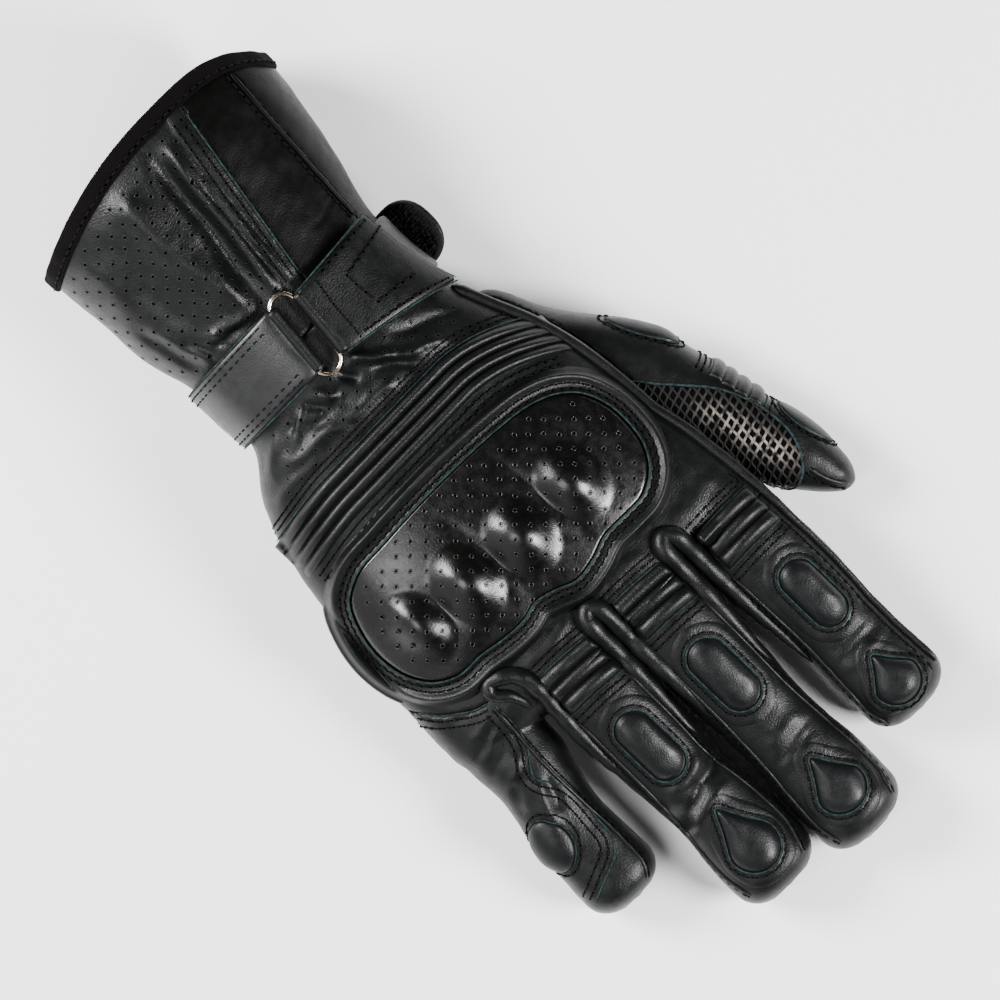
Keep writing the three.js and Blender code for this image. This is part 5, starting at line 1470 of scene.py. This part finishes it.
def make_finger_seams():
    """Thin welts along the fingers' edges, each with a row of stitches beside it."""
    welts = []
    for rows, side in FINGER_SEAMS:
        line = curve(rows, 90)
        path, normal = settle(on_top(line[:, 0], line[:, 1]), 0.12)
        welts.append(sweep_mesh(path, normal, tapered(len(path), 0.62, 0.04), 8, 0.8))
        row, up = settle(path + np.array([side, 0, -0.4]), 0.08)
        sew(row, up)
    points, faces = join(welts)
    build("finger_seam_welts", points, faces, LEATHER)


def beside(plan, distance):
    """A line drawn beside another in plan, to the right of its run, with its corners rounded."""
    line = curve(plan, 60)
    ahead = unit(np.gradient(line, axis=0))
    moved = line + distance * np.stack([ahead[:, 1], -ahead[:, 0]], axis=1)
    moved[3:-3] = np.stack([np.convolve(moved[:, k], bell(7), mode="valid") for k in (0, 1)], axis=1)
    return moved


def make_little_panel():
    """Edges of the little finger's outer panel: a cut edge and two rows of stitches."""
    edge = [(42.8, 38.0), (42.9, 46), (44.8, 54), (48.6, 59), (50.0, 61.8), (48.0, 65.4), (45.6, 69.4),
            (45.2, 75), (46.0, 83), (46.8, 89.4), (49.6, 93.2), (56.4, 96.2), (64.4, 99.4)]
    raw_edge_on_skin(edge, 0.2, 0.26)
    for distance in (1.7, 3.9):
        sew_on_skin(beside(edge, distance)[1:-1])
    base = ROOT_SEAM[5:10]
    raw_edge_on_skin(base, 0.15)
    for distance in (1.7, 3.7):
        sew_on_skin(beside(base, -distance)[2:])


# Thumb
THUMB_MESH = [(-49.5, 3), (-54.6, 9), (-60.2, 15.6), (-65.8, 23), (-69.2, 31), (-71.0, 40), (-70.8, 47),
              (-68.6, 52.6), (-65.4, 56.4), (-61.6, 57.8), (-58.6, 55.6), (-56.4, 50.4), (-54.2, 42),
              (-52.0, 32), (-49.8, 20), (-48.4, 9)]


def on_thumb(x, y, lift=0.0):
    """Points on the thumb over places in plan, with its normals."""
    return settle(on_top(x, y, 0, THUMB_TOPS), lift, THUMB_BAG)


YARN_SPACING = 1.4
YARN_WAVE = 3.9                 # a strand leans on its neighbour once in this length
YARN_SWAY = 0.52
YARN_RADIUS = 0.43


def make_thumb_mesh():
    """Open mesh on the thumb: a dark backing, and strands side by side that sway as a sine, each against
    its neighbour."""
    line = curve(THUMB_MESH, 80, True)
    middle = np.array([-62.5, 34.0])

    def place(u, v):
        spot = middle + (on_line(line, u) - middle) * v[..., None]
        return on_thumb(spot[..., 0], spot[..., 1])

    pillow("thumb_mesh_backing", place, sunk(-0.35), sunk(0.8), 80, 18, MESH_BACKING, "mesh", ["thumb_mesh"],
           wrap=True, pole=True)
    strands = []
    lean = unit(np.array([0.62, 0.78]))
    side = np.array([lean[1], -lean[0]])
    t = np.arange(-34, 34, 0.4)
    for k in range(-26, 27):
        sway = YARN_SWAY * (1 if k % 2 else -1) * np.sin(2 * np.pi * t / YARN_WAVE)
        plan = middle + side * (k * YARN_SPACING + sway)[:, None] + lean * t[:, None]
        keep = inside_outline(plan[:, 0], plan[:, 1], line, 0.985)
        for run in np.split(plan, np.where(np.diff(keep.astype(int)) != 0)[0] + 1):
            inside = inside_outline(run[:, 0], run[:, 1], line, 0.985)
            if len(run) < 5 or not inside.all():
                continue
            path, normal = on_thumb(run[:, 0], run[:, 1], 0.6)
            strands.append(sweep_mesh(path, normal, YARN_RADIUS, 5, 0.7))
    points, faces = join(strands)
    piece = build("thumb_mesh_yarn", points, faces, MESH_YARN)
    # painted highlight: the yarn pale along a band, a bell across it and a fourth power along it
    off = (points[:, 0] + 62.4 + 0.24 * (points[:, 1] - 37)) / 3.2
    along = (points[:, 1] - 38) / 14.0
    # the attribute holds the share of painted highlight at each point
    pale = piece.data.attributes.new("pale", "FLOAT", "POINT")
    pale.data.foreach_set("value", np.exp(-(off**2) - along**4).astype(np.float32))
    path, normal = on_thumb(line[:, 0], line[:, 1], 0.55)
    raw_edge(path, normal, 0.4, True)


THUMB_RIBS_SUNK = 0.9
THUMB_RIBS_LOW = 16.5
THUMB_RIBS_LONG = 17.0


def across_thumb(u, y, lift=0.0):
    """A line over the thumb's outer side, leaning a little: u turns round its section, y is its middle."""
    return settle(tube_point(THUMB, y + 3.0 * (u - 0.5), 196 - 66 * u), lift, THUMB_BAG)


def make_thumb_trim():
    """Four stretch ribs over the thumb's outer side with their stitches, and the welt at its tip."""
    def top(u, v):
        return raised(THUMB_RIBS_SUNK, 0.3 + 1.15 * ridges(v, 4), np.sqrt(brink(u, 0.05) * brink(v, 0.012)))

    pillow("thumb_stretch_ribs", lambda u, v: across_thumb(u, THUMB_RIBS_LOW + THUMB_RIBS_LONG * v), top,
           sunk(THUMB_RIBS_SUNK), 30, 76, LEATHER, "leather", ["thumb_ribs"])
    u = np.linspace(0.05, 0.95, 30)
    for y in (15.8, 34.4):
        raw_edge(*across_thumb(u, y, 0.15))
    for y in (14.2, 12.4, 36.0):
        sew(*across_thumb(u, y, 0.15))
    tip = curve([(-72.4, 68.2), (-70.4, 65.6), (-68.6, 61.6), (-67.6, 57.0)], 30)
    path, normal = on_thumb(tip[:, 0], tip[:, 1], 0.1)
    points, faces = sweep_mesh(path, normal, tapered(len(path), 0.8, 0.08), 8, 0.8)
    build("thumb_tip_welt", points, faces, LEATHER)
    sew(*on_thumb(tip[:, 0] + 1.5, tip[:, 1] + 0.4, 0.1))


# Wrist closure
STRAP_SEAT = 0.9
STRAP_THICK = 1.5


def band(name, angles, edges, low, high, finish, slot_name, replaced=(), columns=90, rows=26):
    """A strap laid round the wrist: a slab between two angles of the wrist's section. angles(v) gives
    its two ends and edges(u) its two sides; low(u) and high(u) are its faces' distances from the skin."""
    def place(u, v):
        start, end = angles(v)
        lower, upper = edges(u)
        y, angle = lower + (upper - lower) * v, start + (end - start) * u
        points = tube_point(HAND, y, angle)
        return points, unit(tube_point(HAND, y, angle, 1.0) - points)

    def top(u, v):
        across = np.clip(1 - np.abs(2 * v - 1) ** 14, 0, 1) ** 0.5
        along = np.clip(1 - np.abs(2 * u - 1) ** 60, 0, 1) ** 0.5
        return low(u) + (high(u) - low(u)) * across * along

    return pillow(name, place, top, lambda u, _: low(u), columns, rows, finish, slot_name, replaced,
                  crowd=0.55)


def strap_line(angle_from, angle_to, y_from, y_to, lift, count):
    """A line on a strap: angle and y change evenly, lift off the wrist's skin."""
    t = np.linspace(0, 1, count)
    a = angle_from + (angle_to - angle_from) * t
    y = y_from + (y_to - y_from) * t
    points = tube_point(HAND, y, a, lift)
    return points, unit(tube_point(HAND, y, a, lift + 1) - points)


def angle_at(x, y=STRAP_Y):
    """The angle round the wrist's section, in degrees, over a place in plan."""
    return float(section_angle(np.array(x), np.array(y)))


WIRE_LIFT = 2.4                 # of the ring's wire over the wrist
NOSE = 2.1                      # radius of a strap's fold round the wire
PULL_NOSE = ((-1.9, -82.1), (0.2, -60.4))
RING_NOSE = ((6.3, -83.9), (8.5, -61.6))
# Degrees round the wrist
BASE_START, BASE_END = 97.0, 192.0
RING_STRAP_END = -128.0


def across_from(nose):
    """The angle round the wrist at which a strap starts on its fold, from its lower to its upper edge."""
    (x0, y0), (x1, y1) = nose
    low, high = angle_at(x0, y0), angle_at(x1, y1)
    return lambda v: low + (high - low) * v


def fold_nose(name, nose):
    """The rounded fold of a strap round the ring's wire."""
    t = np.linspace(0, 1, 30)
    (x0, y0), (x1, y1) = nose
    x, y = x0 + (x1 - x0) * t, y0 + (y1 - y0) * t
    path = tube_point(HAND, y, section_angle(x, y), WIRE_LIFT)
    points, faces = sweep_mesh(path, UP, tapered(len(path), NOSE, 0.02), 18)
    build(name, points, faces, LEATHER)


def level(height):
    """The same height all along a strap."""
    return lambda u: np.full_like(u, height)


def make_straps():
    """The pull strap, that lies double from its fold round the ring, and the ring's strap round the wrist."""
    single = STRAP_SEAT + STRAP_THICK
    double = single + STRAP_THICK + 0.15
    nose_top = WIRE_LIFT + NOSE - 0.03

    def top_of(x):
        return np.interp(x, [-40, -33, 1], [-53.5, -51.2, -60.3])

    def bottom_of(x):
        return np.interp(x, [-40, -29, 0], [-80.5, -84.3, -81.9])

    def under_edges(u):
        x = tube_point(HAND, np.full_like(u, STRAP_Y), BASE_START + (BASE_END - BASE_START) * u)[..., 0]
        return np.full_like(u, -80.3), np.minimum(-58.8, top_of(x) - 0.8)

    band("pull_strap_base", lambda _: (BASE_START, BASE_END), under_edges, level(STRAP_SEAT), level(single),
         LEATHER, "leather")
    pull_start = across_from(PULL_NOSE)
    end_low, end_high = angle_at(-27.8), angle_at(-30.8)

    def over_edges(u):
        a = pull_start(0.5) + (end_low - pull_start(0.5)) * u
        x = tube_point(HAND, np.full_like(a, STRAP_Y), a)[..., 0]
        return bottom_of(x), top_of(x)

    band("pull_strap_fold", lambda v: (pull_start(v), end_low + (end_high - end_low) * v), over_edges,
         lambda u: single + 0.1 + 0.6 * step(0.2 - u, 0, 0.2),
         lambda u: double + (nose_top - double) * step(0.2 - u, 0, 0.2), LEATHER, "leather",
         ["pull_strap"], 120, 30)
    fold_nose("pull_strap_nose", PULL_NOSE)
    ring_start = across_from(RING_NOSE)

    def ring_edges(u):
        return -84.4 + 0.5 * np.sin(2.5 * u), -61.4 - 0.8 * np.sin(3.0 * u)

    def ring_top(u):
        return single + 0.2 + (nose_top - single - 0.2) * step(0.14 - u, 0, 0.14)

    band("ring_strap_band", lambda v: (ring_start(v), RING_STRAP_END), ring_edges,
         lambda u: STRAP_SEAT + 0.1 + 1.4 * step(0.11 - u, 0, 0.11), ring_top, STRAP_LEATHER, "leather",
         ["ring_strap"], 190, 30)
    fold_nose("ring_strap_nose", RING_NOSE)

    def ring_row(v, lift):
        share = np.linspace(0.03, 0.63, 150)
        lower, upper = ring_edges(share)
        a = ring_start(v) + (RING_STRAP_END - ring_start(v)) * share
        y = lower + (upper - lower) * v
        path = tube_point(HAND, y, a)
        normal = unit(tube_point(HAND, y, a, 1.0) - path)
        return path + normal * (ring_top(share) + lift)[:, None], normal

    for v in (0.078, 0.17, 0.822, 0.913):
        sew(*ring_row(v, -0.14))
    for v in (0.006, 0.994):
        raw_edge(*ring_row(v, -0.45))
    sew(*strap_line(angle_at(-7.6, -80.8), angle_at(-5.0, -60.2), -80.8, -60.4, double + 0.12, 24))
    for (x0, y0), (x1, y1) in (((-27, -61.6), (-14.6, -63.6)), ((-14.4, -64.4), (-13.8, -75.0)),
                               ((-14.0, -75.2), (-28.6, -78.2))):
        sew(*strap_line(angle_at(x0, y0), angle_at(x1, y1), y0, y1, double + 0.1, 30))
    sew(*strap_line(angle_at(-7.8), angle_at(-26.6), -80.8, -82.4, double + 0.08, 40))
    sew(*strap_line(angle_at(-5.4), angle_at(-29.2), -60.6, -54.2, double + 0.08, 40))
    raw_edge(*strap_line(angle_at(1.4), angle_at(-30.2), -60.2, -51.8, double - 0.3, 60), 0.26)
    raw_edge(*strap_line(angle_at(-1.0), angle_at(-27.6), -82.0, -84.2, double - 0.4, 60), 0.26)
    raw_edge(*strap_line(angle_at(-28.0), angle_at(-30.8), -83.6, -52.6, double - 0.6, 50), 0.22)


def make_ring():
    """The wire ring: two half circles joined by straight sides, a round section carried along them."""
    half_width, half_long, wire, turn = 4.0, 13.5, 0.6, math.radians(-6.4)
    straight = half_long - half_width
    a = np.linspace(0, np.pi, 25)
    upper = np.stack([half_width * np.cos(a), straight + half_width * np.sin(a)], axis=1)
    side = np.linspace(1, -1, 24)[1:-1, None] * np.array([0, straight]) + np.array([-half_width, 0])
    lower = -upper
    flat = np.concatenate([upper, side, lower, -side])
    spin = np.array([[math.cos(turn), -math.sin(turn)], [math.sin(turn), math.cos(turn)]])
    flat = flat @ spin.T + np.asarray(RING_PLACE) + (0.2, 0.1)
    ends = tube_top(HAND, np.array([4.0, 5.5]), np.array([-84.0, -60.0])) + WIRE_LIFT
    level = ends[0] + (ends[1] - ends[0]) * (flat[:, 1] + 84.0) / 24.0
    path = np.column_stack([flat, level])
    points, faces = sweep_mesh(path, UP, wire, 16, 1.0, True)
    build("wire_ring", points, faces, NICKEL, ["wrist_ring"])


def make_tab():
    """The strap's free end that stands off the wrist: a round-ended tongue with a fuzzy upper face."""
    low, high = (np.asarray(corner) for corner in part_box("strap_fuzzy_tab"))
    low, high = (low - SHIFT) / MM, (high - SHIFT) / MM
    slant = math.radians(37)
    along = np.array([-math.cos(slant), 0, math.sin(slant)])
    normal = np.array([math.sin(slant), 0, math.cos(slant)])
    tip = np.array([low[0] - 0.6, -71.0, high[2] - 1.6])
    length, half = 25.0, 10.6

    middle = tip + along * (0.2 - half)

    def tongue(thick, offset, fuzz):
        rng = np.random.default_rng(4)

        def place(u, v):
            c, s = np.cos(2 * np.pi * u), np.sin(2 * np.pi * u)
            reach = np.where(c > 0, half * c, (length - half) * np.clip(c * 2.4, -1, 0))
            wide = half * np.sign(s) * np.abs(s) ** 0.8
            spot = middle + along * (reach * v)[..., None] + np.array([0, 1, 0]) * (wide * v)[..., None]
            spot = spot + normal * offset
            return spot, np.broadcast_to(normal, spot.shape)

        def top(u, v):
            bumps = fuzz * rng.uniform(-1, 1, u.shape) * step(1 - v, 0, 0.1)
            return thick * np.sqrt(np.clip(1 - v**8, 0, 1)) + bumps

        return place, top

    pillow("fuzzy_tongue", *tongue(1.9, 0.0, 0.42), sunk(0.0), 120, 34, PILE, "hook_and_loop",
           ["strap_fuzzy_tab"], wrap=True, pole=True)
    pillow("tongue_leather", *tongue(1.4, -1.4, 0.0), sunk(0.0), 80, 16, LEATHER, "leather", (),
           wrap=True, pole=True)


# Cuff trim
def make_binding():
    """Woven tape folded over the cuff's edge: a rounded oblong section carried once round the mouth."""
    a = np.linspace(0, 360, 261)[:-1]
    s = 2 * np.pi * np.arange(28) / 28
    wide, thick = 2.95, 2.0
    across = wide * np.sign(np.cos(s)) * np.abs(np.cos(s)) ** 0.45
    rise = thick * np.sign(np.sin(s)) * np.abs(np.sin(s)) ** 0.45
    x = tube_point(HAND, np.full_like(a, -140.0), a)[:, 0]
    edge = cuff_edge(x)
    y = edge[:, None] + 1.8 + across[None, :]
    bulge = 0.12 * np.sin(np.radians(a) * 23)[:, None]
    points = tube_point(HAND, y, np.broadcast_to(a[:, None], y.shape), -0.9 + rise[None, :] + bulge)
    quads = tube_quads(len(a), len(s), True)[:, [0, 3, 2, 1]]
    points = points.reshape(-1, 3)
    points[:, 2] = np.maximum(points[:, 2], REST + 0.02)
    build("cuff_edge_tape", points, [quads], BINDING, ["cuff_binding"])
    line = tube_point(HAND, edge + 3.4, a, 1.12)
    normal = unit(tube_point(HAND, edge + 3.4, a, 2.12) - line)
    top = (a > 2) & (a < 178)
    sew(line[top], normal[top])


def make_cuff_seams():
    """The cuff's middle seam with a cut edge and two rows, and the welt at its thumb side."""
    y = np.linspace(-85.5, -139.0, 40)
    x = seam_x(y, *MIDDLE_SEAM)
    raw_edge_on_skin(np.stack([x, y], axis=1), 0.3, 0.28)
    for offset in (2.0, 4.6):
        sew_on_skin(np.stack([x + offset, y], axis=1))
    x = seam_x(y, *THUMB_SIDE_SEAM)
    guess = tube_point(HAND, y, section_angle(x, y))
    path, normal = settle(guess, 0.15)
    points, faces = sweep_mesh(path, normal, tapered(len(path), 0.7, 0.03), 8, 0.7)
    build("cuff_side_welt", points, faces, SOFT_LEATHER)
    row, up = settle(path + np.array([1.6, 0, 0.8]), 0.08)
    sew(row, up)


def finish_sewing():
    """All threads, the painted shade of the needle holes, and cut edges, each kind joined into one piece."""
    for name, parts, finish in (("stitches", SEWING["threads"], THREAD_FINISH),
                                ("needle_hole_shade", SEWING["holes"], HOLE_SHADE_FINISH),
                                ("cut_edges", RAW_EDGES, CUT_EDGE)):
        points, faces = join(parts)
        build(name, points, faces, finish)


# Floor, light and camera
TURN = math.radians(44)         # how far the fingers point below the picture's horizontal
VIEW_WIDTH = 283 * MM
FAR_CAMERA = 4.0


def picture_axes():
    """The picture's right, up and towards-the-viewer directions in the row's frame."""
    right = np.array([-math.sin(TURN), math.cos(TURN), 0.0])
    up = np.array([-math.cos(TURN), -math.sin(TURN), 0.0])
    return right, up, np.array([0.0, 0.0, 1.0])


def make_camera():
    """The camera straight above the glove, turned so that the fingers point down to the right."""
    right, up, back = picture_axes()
    data = bpy.data.cameras.new("camera")
    data.sensor_width = 36.0
    data.lens = 36.0 * FAR_CAMERA / VIEW_WIDTH
    data.clip_start, data.clip_end = 0.05, 20.0
    camera = bpy.data.objects.new("camera", data)
    middle = to_row((0.0, 0.0, 40.0))
    place = middle + back * FAR_CAMERA
    matrix = np.eye(4)
    matrix[:3, 0], matrix[:3, 1], matrix[:3, 2], matrix[:3, 3] = right, up, back, place
    camera.matrix_world = Matrix(matrix.tolist())
    bpy.context.scene.collection.objects.link(camera)
    bpy.context.scene.camera = camera


def make_floor():
    """A wide pale floor that the glove lies on."""
    size = 3.0
    mesh = bpy.data.meshes.new("floor")
    corners = [(-size, -size, 0), (size, -size, 0), (size, size, 0), (-size, size, 0)]
    mesh.from_pydata(corners, [], [(0, 1, 2, 3)])
    floor = bpy.data.objects.new("floor", mesh)
    finish, _, _, shader = new_finish("pale_floor")
    shader.inputs["Base Color"].default_value = (0.93, 0.93, 0.93, 1)
    shader.inputs["Roughness"].default_value = 0.9
    shader.inputs["Specular IOR Level"].default_value = 0.1
    mesh.materials.append(finish)
    bpy.context.scene.collection.objects.link(floor)


def softbox(name, across, up_share, elevation, distance, size, power):
    """A soft light placed in the picture's own directions: across and up say which way it lies."""
    right, up, back = picture_axes()
    flat = unit(right * across + up * up_share)
    way = flat * math.cos(elevation) + back * math.sin(elevation)
    data = bpy.data.lights.new(name, "AREA")
    data.shape = "RECTANGLE"
    data.size, data.size_y = size
    data.energy = power
    lamp = bpy.data.objects.new(name, data)
    side = unit(np.cross(back, way))
    matrix = np.eye(4)
    matrix[:3, 0], matrix[:3, 1], matrix[:3, 2] = side, np.cross(way, side), way
    matrix[:3, 3] = way * distance
    lamp.matrix_world = Matrix(matrix.tolist())
    bpy.context.scene.collection.objects.link(lamp)


def make_light():
    """A dim room that glows on one side, and three soft lights."""
    world = bpy.data.worlds.new("studio")
    world.use_nodes = True
    nodes, links = world.node_tree.nodes, world.node_tree.links
    way = nodes.new("ShaderNodeTexCoord").outputs["Generated"]
    right, up, back = picture_axes()
    toward = add_node(nodes, "ShaderNodeVectorMath", operation="DOT_PRODUCT")
    toward.inputs[1].default_value = unit(right * -0.8 + up * -0.5 + back * 0.3)
    links.new(way, toward.inputs[0])
    fade = add_node(nodes, "ShaderNodeMapRange", interpolation_type="SMOOTHSTEP")
    fade.inputs["From Min"].default_value = 0.3
    fade.inputs["From Max"].default_value = 1.0
    fade.inputs["To Min"].default_value = 0.025
    fade.inputs["To Max"].default_value = 1.15
    links.new(toward.outputs["Value"], fade.inputs["Value"])
    links.new(fade.outputs["Result"], nodes["Background"].inputs["Strength"])
    nodes["Background"].inputs["Color"].default_value = (1, 1, 1, 1)
    bpy.context.scene.world = world
    softbox("right_box", 1.0, -0.25, math.radians(37), 1.3, (0.5, 0.4), 44.0)
    softbox("low_box", -0.7, -0.72, math.radians(63), 1.4, (0.55, 0.55), 9.0)
    softbox("left_box", -1.0, 0.25, math.radians(37), 1.3, (0.55, 0.45), 46.0)


make_leather()
make_guard()
make_perforations()
make_wrist_ribs()
make_finger_ribs()
make_pads()
make_rolls()
make_piping()
make_finger_seams()
make_little_panel()
make_thumb_mesh()
make_thumb_trim()
make_straps()
make_ring()
make_tab()
make_binding()
make_cuff_seams()
finish_sewing()
make_floor()
make_light()
make_camera()
